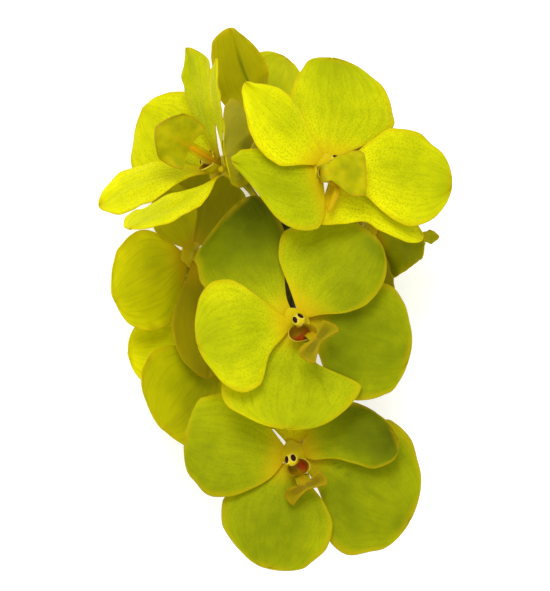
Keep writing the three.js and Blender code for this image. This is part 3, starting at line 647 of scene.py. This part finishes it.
def blade_surface(bloom, t, lift, u, v, seed):
    """Middle surface of a blade at u along its length and v across it, each an array."""
    right, up, forward = bloom_axes(bloom)
    f = math.radians(t["phi"])
    along = up * math.cos(f) - right * math.sin(f)
    across = np.cross(forward, along)
    a0 = math.radians(t["a0"])
    bend = math.radians(t["a1"]) - a0 or 1e-4
    slope = a0 + bend * u
    x = (np.sin(slope) - math.sin(a0)) / bend
    z = (math.cos(a0) - np.cos(slope)) / bend

    # The centre line, and the blade's width and face on it
    p = np.array(bloom["at"], float) + column_of(FOOT + t["L"] * x) * along
    p = p + column_of(lift + t["h"] + t["L"] * z) * forward + column_of(t["side"] * t["L"] * u * u) * across
    face = -column_of(np.sin(slope)) * along + column_of(np.cos(slope)) * forward
    twist = np.radians(t["tw0"] * np.clip(u * 2.5, 0, 1))
    wide = column_of(np.cos(twist)) * across + column_of(np.sin(twist)) * face
    normal = column_of(np.cos(twist)) * face - column_of(np.sin(twist)) * across
    w = np.where(v > 0, side_width(t, "L", u), side_width(t, "R", u))
    ripple = np.sin(WAVES * 2 * math.pi * u + np.where(v > 0, 1.7, 0))
    off = WAVE * np.abs(v) ** 3 * ripple * np.clip(u * 1.6 - 0.3, 0, 1) * np.clip((1 - u) * 6, 0, 1)

    # Finer form than the solids have: a groove over the midrib, sides folded back, folds from the foot,
    # a nicked margin and soft swells
    off = off - CREASE * np.exp(-(v * w / 1.1) ** 2) * np.clip(u * 6, 0, 1) * np.clip((1 - u) * 2, 0, 1)
    off = off - CURL * w * np.abs(v) ** 5 * np.clip(u * 3 - 0.6, 0, 1) * np.clip((1 - u) * 4, 0, 1)
    if t["fold"]:
        near, far, depth, _ = t["fold"]
        groove = np.exp(-np.abs((v * w - near - (far - near) * u) / 1.6))
        off = off - depth * groove * np.clip(u * 3, 0, 1) * (1 - 0.6 * u)
    fan = 0.5 * np.sin(6.5 * v + 1.7 * seed) + 0.3 * np.sin(11 * v - seed)
    off = off + FOLDS * fan * np.clip(u * 1.6 - 0.3, 0, 1)
    nicks = np.sin(2 * math.pi * 3.6 * u + 2.3 * seed + np.where(v > 0, 2.0, 0)) + 0.5 * np.sin(43 * u + seed)
    off = off + RUFFLE * nicks * v ** 6 * np.clip(u * 3 - 0.6, 0, 1)
    swell = np.sin(5.1 * u + 2.3 * v + seed) + 0.6 * np.sin(8.3 * u - 3.7 * v + 2.1 * seed)
    swell = swell + 0.35 * np.sin(13.7 * u + 6.1 * v + 3.7 * seed)
    off = off + SWELL * 0.5 * swell * np.clip(u * 2.5 - 0.2, 0, 1) * (1 - 0.5 * np.abs(v) ** 6)
    return p + column_of(w * v) * wide + column_of(off) * normal, normal


def surface_normals(p, guess):
    """Normals of a grid of points, on the side that guess points to."""
    n = np.cross(np.gradient(p, axis=0), np.gradient(p, axis=1))
    size = np.linalg.norm(n, axis=-1, keepdims=True)
    n = np.where(size > 1e-5, n / np.maximum(size, 1e-9), guess)
    n = n * np.where((n * guess).sum(-1, keepdims=True) < 0, -1, 1)
    n[-1] = guess[-1]
    return n


def make_blade(name, bloom, t, lift, seed, material):
    """A petal or sepal: its middle surface, thinned towards the edge and laid on the surface where it is low."""
    s = np.linspace(0, 1, ROWS)
    u = np.where(s < 0.6, s / 0.6 * 0.75, 1 - 0.25 * ((1 - s) / 0.4) ** 2)
    c = np.linspace(-1, 1, COLUMNS)
    v = np.sin(c * 1.25) / math.sin(1.25)
    u, v = np.meshgrid(u, v, indexing="ij")
    middle, guess = blade_surface(bloom, t, lift, u, v, seed)
    normal = surface_normals(middle, guess)
    thick = BLADE * (1 - (1 - RIM) * np.clip(np.maximum(np.abs(v) ** 3, u ** 8), 0, 1))
    faces = []
    for side in (1, -1):
        face = middle + side * normal * thick[..., None] / 2
        over = side * normal[..., 2] > 0
        face[..., 2] = press(face[..., 2], np.where(over, thick, 0))
        faces.append(face)
    points, quads = shell(*faces)
    run, place = np.tile(u.ravel(), 2), np.tile(v.ravel(), 2)
    across = np.linalg.norm(middle - middle[:, COLUMNS // 2:COLUMNS // 2 + 1], axis=-1) * np.sign(v)
    attributes = dict(
        back=np.repeat([0.0, 1.0], u.size), run=run, side=place,
        # The tone and its slopes across and along the blade are partly its own colour and partly painted shade
        green=t["green"] + t["leftward"] * place + t["outward"] * (run - 0.5),
        dull=np.repeat([0.0, t["dull"]], u.size),
    )
    # Painted shade along the groove of a fold, strongest over the middle of its length
    if t["fold"]:
        near, far, _, dark = t["fold"]
        crease_shade = dark * np.exp(-((across - near - (far - near) * u) / 0.6) ** 2)
        crease_shade = crease_shade * np.clip(u * 4, 0, 1) * np.clip(3 - 3.2 * u, 0, 1)
        attributes["crease_shade"] = np.tile(crease_shade.ravel(), 2)
    uv = np.stack([run * t["L"] + 97 * seed, np.tile(across.ravel(), 2)], 1)
    hand_over(make_piece(name, points, quads, attributes, material, uv), "petals", name)


# The lip, in the bloom's right, up and forward
def ellipsoid(centre, radii, rows, columns, stretch=None):
    """Points and faces of an ellipsoid whose unit form may be changed by stretch first."""
    a = np.linspace(0, math.pi, rows)
    b = np.linspace(0, 2 * math.pi, columns, endpoint=False)
    a, b = np.meshgrid(a, b, indexing="ij")
    p = np.stack([np.sin(a) * np.cos(b), np.sin(a) * np.sin(b), np.cos(a)], -1)
    if stretch is not None:
        p = stretch(p)
    return p * np.array(radii) + np.array(centre), grid_faces(rows, columns, closed=True)


def turned(points, degrees):
    """Points turned about the bloom's forward direction."""
    a = math.radians(degrees)
    x, y = points[..., 0], points[..., 1]
    return np.stack([x * math.cos(a) - y * math.sin(a), x * math.sin(a) + y * math.cos(a), points[..., 2]], -1)


def throat_cup(lip):
    """The throat: a cup open to the front whose rim rises into a side lobe on either hand. With it come how
    red, how pale and how tan each point is."""
    rings, sides = 44, 48
    round_it = np.linspace(0, 2 * math.pi, sides, endpoint=False)
    s, b = np.meshgrid(np.linspace(0, 1, rings), round_it, indexing="ij")
    outer = s < 0.5
    k = np.where(outer, s / 0.5, (1 - s) / 0.5)
    deep = np.clip(k / 0.6, 0, 1) * math.pi / 2
    bowl = np.sin(deep)
    wall = np.clip((k - 0.6) / 0.4, 0, 1)
    lobe = np.abs(np.cos(b)) ** 1.1
    right = np.cos(b) > 0
    rise = 0.9 + np.where(right, lip["right_lobe"][0], lip["left_lobe"][0]) * lobe
    radius = lip["throat"] * (THROAT_RADIUS + np.where(outer, THROAT_WALL * (1 - 0.6 * wall), 0))
    radius = radius * bowl * (1 + 0.22 * lobe * wall ** 2)
    x = radius * np.cos(b) + np.where(right, lip["right_lobe"][1], lip["left_lobe"][1]) * lobe * wall ** 2
    y = THROAT_PLACE[0] + 0.86 * radius * np.sin(b) - 0.7 * wall * lobe
    z = THROAT_PLACE[1] - np.where(outer, THROAT_WALL, 0) + THROAT_DEPTH * (1 - np.cos(deep))
    z = z + rise * (1 - 0.25 * wall) * wall
    floor = lip["floor"] * np.clip(0.5 - 0.8 * np.cos(b - math.radians(lip["red_at"])), 0, 1)
    red = np.where(outer, 0, np.clip(1.3 - 1.7 * k ** 2, 0, 1) * (1 - floor))
    pale = np.clip((k - 0.9) / 0.1, 0, 1) * np.clip(np.cos(b - math.radians(lip["pale_at"])) + 0.25, 0, 1)
    tan = np.where(outer, 0.35 + 0.3 * wall, np.maximum(np.clip(k * 2 - 0.7, 0, 1) * 0.7, wall * lobe * 0.9))
    tan = np.maximum(tan, np.where(outer, 0, 0.8 * floor))
    return np.stack([x, y, z], -1), grid_faces(rings, sides, closed=True), red, pale, tan


def middle_lobe(lip):
    """The lip's middle lobe: a keeled waist that runs forward, turns down and spreads into a fishtail."""
    u, v = np.meshgrid(np.linspace(0, 1, 64), np.linspace(-1, 1, 45), indexing="ij")
    k = np.clip((u - WAIST_SHARE) / (1 - WAIST_SHARE), 0, 1)
    flare = smoothstep(k, 0.0, 0.42)
    across = smoothstep(k, 0.36, 1.0)
    side = np.abs(v)
    inner = -lip["back"] * side ** 1.4
    outer = lip["middle"] + (lip["wing"] - lip["middle"]) * side ** 1.3
    past = flare * inner + across * (outer - inner)
    run = lip["stalk"] * np.clip(u / WAIST_SHARE, 0, 1) + past
    corner = 1 - 0.16 * np.abs(2 * across - 1) ** 3 * flare
    w = (lip["waist"] + (lip["fan"] * corner - lip["waist"]) * flare) * v

    # Centre line: its slope grows along the waist and turns into the fan's own slope
    steps, step = np.linspace(-8, 40, 481, retstep=True)
    slope = np.radians(lip["bend"] * np.clip(steps / lip["stalk"], 0, 1))
    slope = slope + (math.radians(lip["tilt"]) - slope) * smoothstep(steps, lip["stalk"] - 4, lip["stalk"] + 2)
    down = np.cumsum(np.sin(slope)) * step
    ahead = np.cumsum(np.cos(slope)) * step
    at_zero = np.searchsorted(steps, 0)
    down, ahead = down - down[at_zero], ahead - ahead[at_zero]
    at_end = np.searchsorted(steps, lip["stalk"])

    # The fan is spun in its own plane
    spin = math.radians(lip["spin"]) * flare
    beyond = run - lip["stalk"]
    run = run + flare * (w * np.sin(spin) + beyond * (np.cos(spin) - 1))
    w = w * np.cos(spin) - flare * beyond * np.sin(spin)

    # The waist follows the line, and the fan lies flat in its own plane
    beyond, tilt = run - lip["stalk"], math.radians(lip["tilt"])
    flat = smoothstep(flare, 0.2, 1)
    here = np.interp(run, steps, slope) * (1 - flat) + tilt * flat
    sunk = np.interp(run, steps, down) * (1 - flat) + (down[at_end] + beyond * math.sin(tilt)) * flat
    forth = np.interp(run, steps, ahead) * (1 - flat) + (ahead[at_end] + beyond * math.cos(tilt)) * flat

    # Across it: two keels above and one below, drooping wings and a wavy edge
    droop = np.where(v > 0, lip["droop"][0], lip["droop"][1])
    keels = np.clip(u * 5, 0, 1) * np.clip(2.2 - 2.6 * u, 0, 1)
    keels = 0.7 * lip["keel"] * np.exp(-((np.abs(w) - 0.8) / 0.4) ** 2) * keels
    wavy = 0.5 * side ** 2 * np.sin(7 * across + 2.5 * v) * flare
    faces = []
    for face in (1, -1):
        n = -droop * lip["fan"] * side ** 2.2 * flare + wavy + face * LOBE_HALF * (1 - 0.4 * side ** 3 * flare)
        n = n + lip["scoop"] * (side ** 2 - 0.3) * flare * np.sin(across * math.pi)
        n = n + (keels if face > 0 else -1.1 * np.exp(-(w / 0.9) ** 2) * np.clip(1.5 - 1.8 * u, 0, 1))
        y = lip["root"][1] - sunk + n * np.cos(here)
        z = lip["root"][2] + forth + n * np.sin(here)
        faces.append(np.stack([lip["root"][0] + w, y, z], -1))
    points, quads = shell(*faces)

    # What its colours follow
    keel = lip["keel"] * np.exp(-(w / 1.3) ** 2) * np.clip(2.1 - 2.4 * u, 0, 1)
    edge = np.maximum(np.clip((side - 0.86) / 0.14, 0, 1), np.clip((across - 0.9) / 0.1, 0, 1))
    near = smoothstep(flare, 0.5, 1) * np.clip((0.14 - across) / 0.14, 0, 1)
    edge = np.maximum(edge, near * min(lip["hollow"] ** 2, 1))
    # Painted shade in the fan's hollow and, by shade, over the whole fan; the back gets less of it
    hollow = np.exp(-((side - 0.35) / 0.35) ** 2) * np.sin(np.clip(across * 1.2, 0, 1) * math.pi)
    hollow = lip["shade"] * flare + lip["hollow"] * flare * hollow
    tan = np.maximum(0.9 * np.clip(1 - u / 0.35, 0, 1), lip["tan"])
    marks = {key: np.tile(a.ravel(), 2) for key, a in dict(keel=keel, edge=edge, tan=tan).items()}
    marks["hollow"] = np.concatenate([hollow.ravel(), 0.3 * hollow.ravel()])
    return points, quads, marks


def horn(lip):
    """The blunt spur under the lip, on its own course or straight back under the throat."""
    turn, spur = math.radians(lip["roll"] + lip["throat_turn"]), lip["spur"]
    s, c = math.sin(turn), math.cos(turn)
    path = lip["horn"] or [(6 * s, -6 * c, 1.2), (2 * s, -8 - spur / 2, 2.2), (0, -9 - spur, 2.4)]
    rings = 14
    radii = np.interp(np.linspace(0, 1, rings), [0, 0.5, 0.9, 1], [0.6, 1.6, 1.2, 0.25])
    return tube_points(curve_points(path, rings), radii, 16)


def curve_points(points, count):
    """Points spaced evenly along a centripetal Catmull-Rom curve through the given points."""
    p = [np.array(q, float) for q in points]
    p = [2 * p[0] - p[1], *p, 2 * p[-1] - p[-2]]
    dense = []
    for i in range(1, len(p) - 2):
        a, b, c, d = p[i - 1:i + 3]
        t = np.cumsum([0, *(max(np.linalg.norm(y - x) ** 0.5, 1e-4) for x, y in ((a, b), (b, c), (c, d)))])
        for k in np.linspace(t[1], t[2], 40, endpoint=i == len(p) - 3):
            ab = a + (b - a) * (k - t[0]) / (t[1] - t[0])
            bc = b + (c - b) * (k - t[1]) / (t[2] - t[1])
            cd = c + (d - c) * (k - t[2]) / (t[3] - t[2])
            abc = ab + (bc - ab) * (k - t[0]) / (t[2] - t[0])
            bcd = bc + (cd - bc) * (k - t[1]) / (t[3] - t[1])
            dense.append(abc + (bcd - abc) * (k - t[1]) / (t[2] - t[1]))
    dense = np.array(dense)
    run = np.concatenate([[0], np.cumsum(np.linalg.norm(np.diff(dense, axis=0), axis=1))])
    even = np.linspace(0, run[-1], count)
    return np.stack([np.interp(even, run, dense[:, i]) for i in range(3)], 1)


def tube_points(path, radii, sides):
    """A closed round tube along a path."""
    tangent = unit(np.gradient(path, axis=0))
    side = np.array([0.3, 0.2, 0.93])
    rings = []
    b = np.linspace(0, 2 * math.pi, sides, endpoint=False)
    for p, t, r in zip(path, tangent, radii):
        side = unit(side - t * (side @ t))
        rings.append(p + r * (np.cos(b)[:, None] * side + np.sin(b)[:, None] * np.cross(t, side)))
    rings = [np.repeat(path[:1], sides, 0), *rings, np.repeat(path[-1:], sides, 0)]
    return np.array(rings).reshape(-1, 3), grid_faces(len(rings), sides, closed=True)


def make_lip(name, bloom, material):
    """The throat, the middle lobe and the spur as one piece."""
    lip = {**PLAIN_LIP, **bloom["lip"]}
    parts = []
    points, faces, red, pale, tan = throat_cup(lip)
    marks = dict(throat=red.ravel(), rim=pale.ravel(), tan=tan.ravel())
    parts.append((turned(points.reshape(-1, 3), lip["roll"] + lip["throat_turn"]), faces, marks))
    points, faces, marks = middle_lobe(lip)
    parts.append((turned(points, lip["roll"] + lip["swing"]), faces, marks))
    points, faces = horn(lip)
    parts.append((points, faces, dict(keel=np.full(len(points), lip["gold"]))))
    axes = bloom_axes(bloom)
    vertices, quads, start = [], [], 0
    marks = {key: [] for key in LIP_MARKS}
    for points, faces, values in parts:
        vertices.append(points @ axes + np.array(bloom["at"], float))
        quads += [tuple(start + i for i in f) for f in faces]
        for key in marks:
            marks[key].append(values.get(key, np.zeros(len(points))))
        start += len(points)
    marks = {key: np.concatenate(values) for key, values in marks.items()}
    hand_over(make_piece(name, np.concatenate(vertices), quads, marks, material), "lip", name)


# Stalks and the stem are made by one Geometry Nodes tree
def ribbed_tube_tree():
    """A tube along a path of edges, ribbed lengthwise. The path's points carry their radius in metres."""
    tree = bpy.data.node_groups.new("ribbed_tube", "GeometryNodeTree")
    face = tree.interface
    face.new_socket("Path", in_out="INPUT", socket_type="NodeSocketGeometry")
    for label, kind, value in (
        ("Ribs", "NodeSocketInt", 6), ("Rib depth", "NodeSocketFloat", 0.06), ("Turns", "NodeSocketFloat", 0.4),
        ("Sides", "NodeSocketInt", 36), ("Steps", "NodeSocketInt", 90),
    ):
        face.new_socket(label, in_out="INPUT", socket_type=kind).default_value = value
    face.new_socket("Skin", in_out="INPUT", socket_type="NodeSocketMaterial")
    face.new_socket("Tube", in_out="OUTPUT", socket_type="NodeSocketGeometry")
    given = add_node(tree, "NodeGroupInput").node.outputs
    curve = add_node(tree, "GeometryNodeMeshToCurve", {0: given["Path"]})
    curve = add_node(tree, "GeometryNodeResampleCurve", {"Curve": curve, "Count": given["Steps"]})
    along = add_node(tree, "GeometryNodeSplineParameter", {}, "Factor")
    turn = add_node(tree, "ShaderNodeMath", {0: along, 1: given["Turns"]}, operation="MULTIPLY")
    turn = add_node(tree, "ShaderNodeMath", {0: turn, 1: 2 * math.pi}, operation="MULTIPLY")
    curve = add_node(tree, "GeometryNodeSetCurveTilt", {"Curve": curve, "Tilt": turn})
    thick = add_node(tree, "GeometryNodeInputNamedAttribute", {"Name": "thick"}, data_type="FLOAT")
    curve = add_node(tree, "GeometryNodeSetCurveRadius", {"Curve": curve, "Radius": thick})
    curve = add_node(tree, "GeometryNodeStoreNamedAttribute", {
        "Geometry": curve, "Name": "along", "Value": along,
    }, data_type="FLOAT", domain="POINT")

    ring = add_node(tree, "GeometryNodeCurvePrimitiveCircle", {"Resolution": given["Sides"], "Radius": 1.0})
    spot = add_node(tree, "GeometryNodeInputPosition")
    parts = add_node(tree, "ShaderNodeSeparateXYZ", {0: spot}).node.outputs
    angle = add_node(tree, "ShaderNodeMath", {0: parts[1], 1: parts[0]}, operation="ARCTAN2")
    angle = add_node(tree, "ShaderNodeMath", {0: angle, 1: given["Ribs"]}, operation="MULTIPLY")
    crest = add_node(tree, "ShaderNodeMath", {0: angle}, operation="COSINE")
    furrow = add_node(tree, "ShaderNodeMath", {0: crest, 1: -0.5, 2: 0.5}, operation="MULTIPLY_ADD")
    # The furrow value also darkens the stalk's colour there as painted shade
    ring = add_node(tree, "GeometryNodeStoreNamedAttribute", {
        "Geometry": ring, "Name": "furrow", "Value": furrow,
    }, data_type="FLOAT", domain="POINT")
    depth = add_node(tree, "ShaderNodeMath", {0: furrow, 1: given["Rib depth"]}, operation="MULTIPLY")
    size = add_node(tree, "ShaderNodeMath", {0: 1.0, 1: depth}, operation="SUBTRACT")
    spot = add_node(tree, "ShaderNodeVectorMath", {0: spot, "Scale": size}, operation="SCALE")
    ring = add_node(tree, "GeometryNodeSetPosition", {"Geometry": ring, "Position": spot})

    tube = add_node(tree, "GeometryNodeCurveToMesh", {
        "Curve": curve, "Profile Curve": ring, "Scale": add_node(tree, "GeometryNodeInputRadius"),
        "Fill Caps": True,
    })
    smooth = add_node(tree, "GeometryNodeSetShadeSmooth", {"Geometry": tube})
    real = add_node(tree, "GeometryNodeRealizeInstances", {"Geometry": smooth})
    skin = add_node(tree, "GeometryNodeSetMaterial", {"Geometry": real, "Material": given["Skin"]})
    add_node(tree, "NodeGroupOutput", {"Tube": skin})
    return tree


def ribbed_tube(name, tree, path, radii, **values):
    """Runs the tree on a path and returns the tube as a plain mesh piece."""
    mesh = bpy.data.meshes.new(name + "_path")
    mesh.from_pydata([tuple(p) for p in (path + ORIGIN) * MM], [(i, i + 1) for i in range(len(path) - 1)], [])
    mesh.attributes.new("thick", "FLOAT", "POINT").data.foreach_set("value", np.asarray(radii, np.float32) * MM)
    host = object_of(name + "_path", mesh)
    modifier = host.modifiers.new("tube", "NODES")
    modifier.node_group = tree
    sockets = {s.name: s.identifier for s in tree.interface.items_tree if s.in_out == "INPUT"}
    for label, value in values.items():
        modifier[sockets[label.replace("_", " ")]] = value
    bpy.context.view_layer.update()
    made = bpy.data.meshes.new_from_object(host.evaluated_get(bpy.context.evaluated_depsgraph_get()))
    made.name = name
    bpy.data.objects.remove(host)
    bpy.data.meshes.remove(mesh)
    return made


def join_meshes(name, meshes, materials):
    """One object from several meshes whose faces keep their own material of the list."""
    shape = bmesh.new()
    for mesh, index in meshes:
        first = len(shape.faces)
        shape.from_mesh(mesh)
        shape.faces.ensure_lookup_table()
        for face in shape.faces[first:]:
            face.material_index = index
            face.smooth = True
    bmesh.ops.recalc_face_normals(shape, faces=shape.faces)
    joined = bpy.data.meshes.new(name)
    shape.to_mesh(joined)
    shape.free()
    return object_of(name, joined, materials)


def merged_mesh(name, points, faces, attributes):
    """A mesh for join_meshes, with its doubles merged."""
    mesh = mesh_of(name, points, faces, attributes)
    shape = bmesh.new()
    shape.from_mesh(mesh)
    bmesh.ops.remove_doubles(shape, verts=shape.verts, dist=DOUBLES)
    shape.to_mesh(mesh)
    shape.free()
    return mesh


# The column: a stout cone with a spreading foot, and the anther cap with its two pollen pits on its end
COLUMN_PROFILE = [
    (-3.2, 1.9), (-2.2, 2.6), (-1.5, 4.0), (-0.9, 5.2), (-0.2, 5.7), (0.6, 5.3), (1.4, 4.6), (2.4, 3.9),
    (3.6, 3.3), (4.8, 2.9), (5.8, 2.75), (6.6, 2.5), (7.2, 1.8), (7.45, 0.9), (7.5, 0.0),
]
CAP_CENTRE = np.array([-0.2, -0.7, 6.6])
CAP_RADII = np.array([2.75, 2.7, 2.2])


def leaning(points, bloom):
    """Turns points of a column with its lip, and leans its tip over."""
    lip = {**PLAIN_LIP, **bloom["lip"]}
    points = turned(points, lip["roll"])
    return points + np.clip(points[:, 2:] / COLUMN_LEAN, 0, 2) ** 1.5 * np.array([*lip["lean"], 0.0])


def column_mesh(name, bloom):
    """The column without its cap: the profile turned about its axis, with five soft lobes round the foot."""
    profile = np.array([(-3.2, 0.0), *COLUMN_PROFILE])
    rows, sides = 64, 40
    run = np.concatenate([[0], np.cumsum(np.linalg.norm(np.diff(profile, axis=0), axis=1))])
    even = np.linspace(0, run[-1], rows)
    z, r = np.interp(even, run, profile[:, 0]), np.interp(even, run, profile[:, 1])
    soft = np.array([0.25, 0.5, 0.25])
    z[1:-1], r[1:-1] = np.convolve(z, soft, "valid"), np.convolve(r, soft, "valid")
    b = np.linspace(0, 2 * math.pi, sides, endpoint=False)
    zz, bb = np.meshgrid(z, b, indexing="ij")
    lobes = 1 + 0.09 * np.cos(5 * (bb - math.pi / 2)) * np.exp(-(zz / 1.6) ** 2)
    rr = r[:, None] * lobes
    lean = -0.02 * np.clip(zz, 0, 8) ** 2 + 0.9 * np.exp(-(zz / 2.2) ** 2)
    local = np.stack([rr * np.cos(bb), rr * np.sin(bb) + lean, zz], -1).reshape(-1, 3)
    points = leaning(local, bloom) @ bloom_axes(bloom) + np.array(bloom["at"], float)
    along = np.repeat(np.interp(z, [-3.2, 0, 7], [0.7, 1.0, 0.95]), sides)
    furrow = np.zeros(rows * sides)
    return merged_mesh(name, points, grid_faces(rows, sides, closed=True), dict(along=along, furrow=furrow))


def make_anther(name, bloom, skin, dark):
    """The rounded anther cap, with a beak over the throat and two oval pollen pits ringed in cream."""
    axes, at = bloom_axes(bloom), np.array(bloom["at"], float)

    def beak(p):
        return p * np.where(p[..., 1:2] < 0, 1.0 + 0.12 * p[..., 2:3], 1.0)

    cap, cap_faces = ellipsoid(CAP_CENTRE, CAP_RADII, 40, 60, beak)
    local = cap.reshape(-1, 3)
    low = np.clip((CAP_CENTRE[1] - 0.72 * CAP_RADII[1] - local[:, 1]) / 0.5, 0, 1)
    meshes = []
    for sign in (-1, 1):
        aim = unit(np.array([sign * 0.56, 0.3, 0.8]))
        side = unit(np.cross([0, 1, 0], aim))
        basis = np.array([side, np.cross(aim, side), aim])
        pit, faces = ellipsoid((0, 0, 0), PIT_RADII, 16, 24)
        # Where the painted highlight lies: the middle of each pit's outer face
        middle = np.clip(1 - np.hypot(pit[..., 0] / 0.5, pit[..., 1] / 0.7), 0, 1) * (pit[..., 2] > 0)
        place = CAP_CENTRE + aim * CAP_RADII * 0.93
        points = leaning(pit.reshape(-1, 3) @ basis + place, bloom) @ axes + at
        spot = (local - place) @ basis.T / (PIT_RADII[0], PIT_RADII[1], PIT_RADII[1])
        low = np.maximum(low, np.exp(-((np.linalg.norm(spot, axis=1) - 1.12) / 0.16) ** 2))
        meshes.append((merged_mesh(name, points, faces, dict(middle=middle.ravel())), 1))
    cap = leaning(local, bloom) @ axes + at
    meshes.append((merged_mesh(name, cap, cap_faces, dict(along=np.ones(len(cap)), cream=low)), 0))
    hand_over(join_meshes(name, meshes, [skin, dark]), "stalk_and_column")


def stalk_path(bloom, stem_path):
    """Where a flower stalk runs, from the stem into the bloom, and its radii."""
    axes, at = bloom_axes(bloom), np.array(bloom["at"], float)
    place = bloom["start"] * (len(stem_path) - 1)
    k = int(place)
    node = stem_path[k] + (stem_path[k + 1] - stem_path[k]) * (place - k)
    tangent = unit(stem_path[k + 1] - stem_path[k])
    behind = at - STALK_REACH * axes[2]
    leave = behind - node
    leave = unit(leave - tangent * (leave @ tangent))
    root = np.interp(bloom["start"], np.linspace(0, 1, len(STEM_RADII)), STEM_RADII)
    start = node + leave * (root * 0.7)
    points = [start, start + leave * 5, behind, at - 4 * axes[2], at - 1.5 * axes[2]]
    path = curve_points(points, STALK_STEPS)

    # Its thickness by the way left to the bloom: the ovary, then the thin pedicel down to its swollen root
    length = np.linalg.norm(np.diff(path, axis=0), axis=1).sum()
    left = length * (1 - np.linspace(0, 1, STALK_STEPS))
    stops = [0, 2.5, 6.5, 11, 15, length - 3, length]
    radii = np.interp(left, stops, [1.9, 1.9, OVARY_RADIUS, 1.9, PEDICEL_RADIUS, PEDICEL_RADIUS, 2.0])
    return path, radii, node, leave, tangent, root


def make_bract(name, node, leave, tangent, root):
    """A short papery scale that clasps the foot of a flower stalk."""
    u, v = np.meshgrid(np.linspace(0, 1, 12), np.linspace(-1, 1, 13), indexing="ij")
    aim = unit(leave + 0.5 * tangent)
    side = unit(np.cross(aim, tangent))
    out = np.cross(side, aim)
    w = 2.0 * np.sqrt(np.clip(1 - u ** 1.6, 0, 1)) + 0.02
    foot = node + leave * root * 0.6 + tangent * 2.4
    middle = foot + (5.2 * u)[..., None] * aim + (w * np.sin(v))[..., None] * side
    middle = middle + (w * (1 - np.cos(v * 1.2)))[..., None] * out
    faces = [middle + s * 0.16 * out for s in (1, -1)]
    points, quads = shell(*faces)
    return merged_mesh(name, points, quads, dict(along=np.tile(u.ravel(), 2)))


# Build
petal_flesh = petal_material()
lip_flesh = lip_material()
stalk_flesh = column_material()
pollen_pit = eye_material()
stem_rind = stem_material()
tube_tree = ribbed_tube_tree()

stem_path = curve_points(STEM, STEM_STEPS)
seed = 0.0
bracts = []
for bloom_name, bloom in BLOOMS.items():
    for blade_name, lift in LIFTS.items():
        seed += 1.37
        t = {**PLAIN, **bloom[blade_name]}
        make_blade(f"{bloom_name}_{blade_name}", bloom, t, lift, seed, petal_flesh)
    make_lip(f"{bloom_name}_lip", bloom, lip_flesh)
    name = f"{bloom_name}_stalk_and_column"
    path, radii, node, leave, tangent, root = stalk_path(bloom, stem_path)
    bracts.append(make_bract(f"{bloom_name}_bract", node, leave, tangent, root))
    stalk = ribbed_tube(name, tube_tree, path, radii, Ribs=6, Rib_depth=0.13, Turns=0.5, Sides=36, Steps=90,
                        Skin=stalk_flesh)
    stalk = join_meshes(name, [(stalk, 0), (column_mesh(name, bloom), 0)], [stalk_flesh])
    hand_over(stalk, "stalk_and_column", name)
    make_anther(f"{bloom_name}_anther_cap", bloom, stalk_flesh, pollen_pit)

stem_radii = np.interp(np.linspace(0, 1, STEM_STEPS), np.linspace(0, 1, len(STEM_RADII)), STEM_RADII)
stem = ribbed_tube("stem", tube_tree, stem_path, stem_radii, Ribs=9, Rib_depth=0.05, Turns=0.1, Sides=36,
                   Steps=240, Skin=stem_rind)
hand_over(join_meshes("stem", [(stem, 0), *((b, 0) for b in bracts)], [stem_rind]), "stem", "stem")

# Surface, light and camera
HALF = 2.0  # half the side of the floor, in metres as the lights' places are
floor = bpy.data.meshes.new("floor")
floor.from_pydata([(-HALF, -HALF, 0), (HALF, -HALF, 0), (HALF, HALF, 0), (-HALF, HALF, 0)], [], [(0, 1, 2, 3)])
object_of("floor", floor, [floor_material()])

world = bpy.data.worlds.new("soft_room")
world.use_nodes = True
world.node_tree.nodes["Background"].inputs["Color"].default_value = colour("#FFFFFF")
world.node_tree.nodes["Background"].inputs["Strength"].default_value = 0.8
bpy.context.scene.world = world


def soft_light(name, place, aim, size, power):
    """A round soft light at a place, turned to what it lights."""
    light = bpy.data.lights.new(name, "AREA")
    light.shape = "DISK"
    light.size = size
    light.energy = power
    holder = bpy.data.objects.new(name, light)
    holder.location = place
    holder.rotation_euler = (Vector(aim) - Vector(place)).to_track_quat("-Z", "Y").to_euler()
    bpy.context.scene.collection.objects.link(holder)


soft_light("key_light", (-0.1, 0.55, 0.95), (0.0, 0.0, 0.05), 0.5, 6.0)
soft_light("fill_light", (0.2, -0.5, 1.1), (0.0, -0.1, 0.05), 0.8, 3.0)

# The camera looks straight down on the middle of the photo's frame
CAMERA_HEIGHT = 1400
FRAME_PIXELS = (550, 591)
MM_PER_PIXEL = 0.42
FRAME_PLANE = 50  # height at which a pixel is that wide
SENSOR = 36
camera = bpy.data.cameras.new("camera")
camera.sensor_width = SENSOR
camera.lens = SENSOR * (CAMERA_HEIGHT - FRAME_PLANE) / (MM_PER_PIXEL * max(FRAME_PIXELS))
camera_holder = bpy.data.objects.new("camera", camera)
camera_holder.location = (ORIGIN[0] * MM, ORIGIN[1] * MM, CAMERA_HEIGHT * MM)
bpy.context.scene.collection.objects.link(camera_holder)
bpy.context.scene.camera = camera_holder
bpy.context.scene.view_settings.view_transform = "Standard"
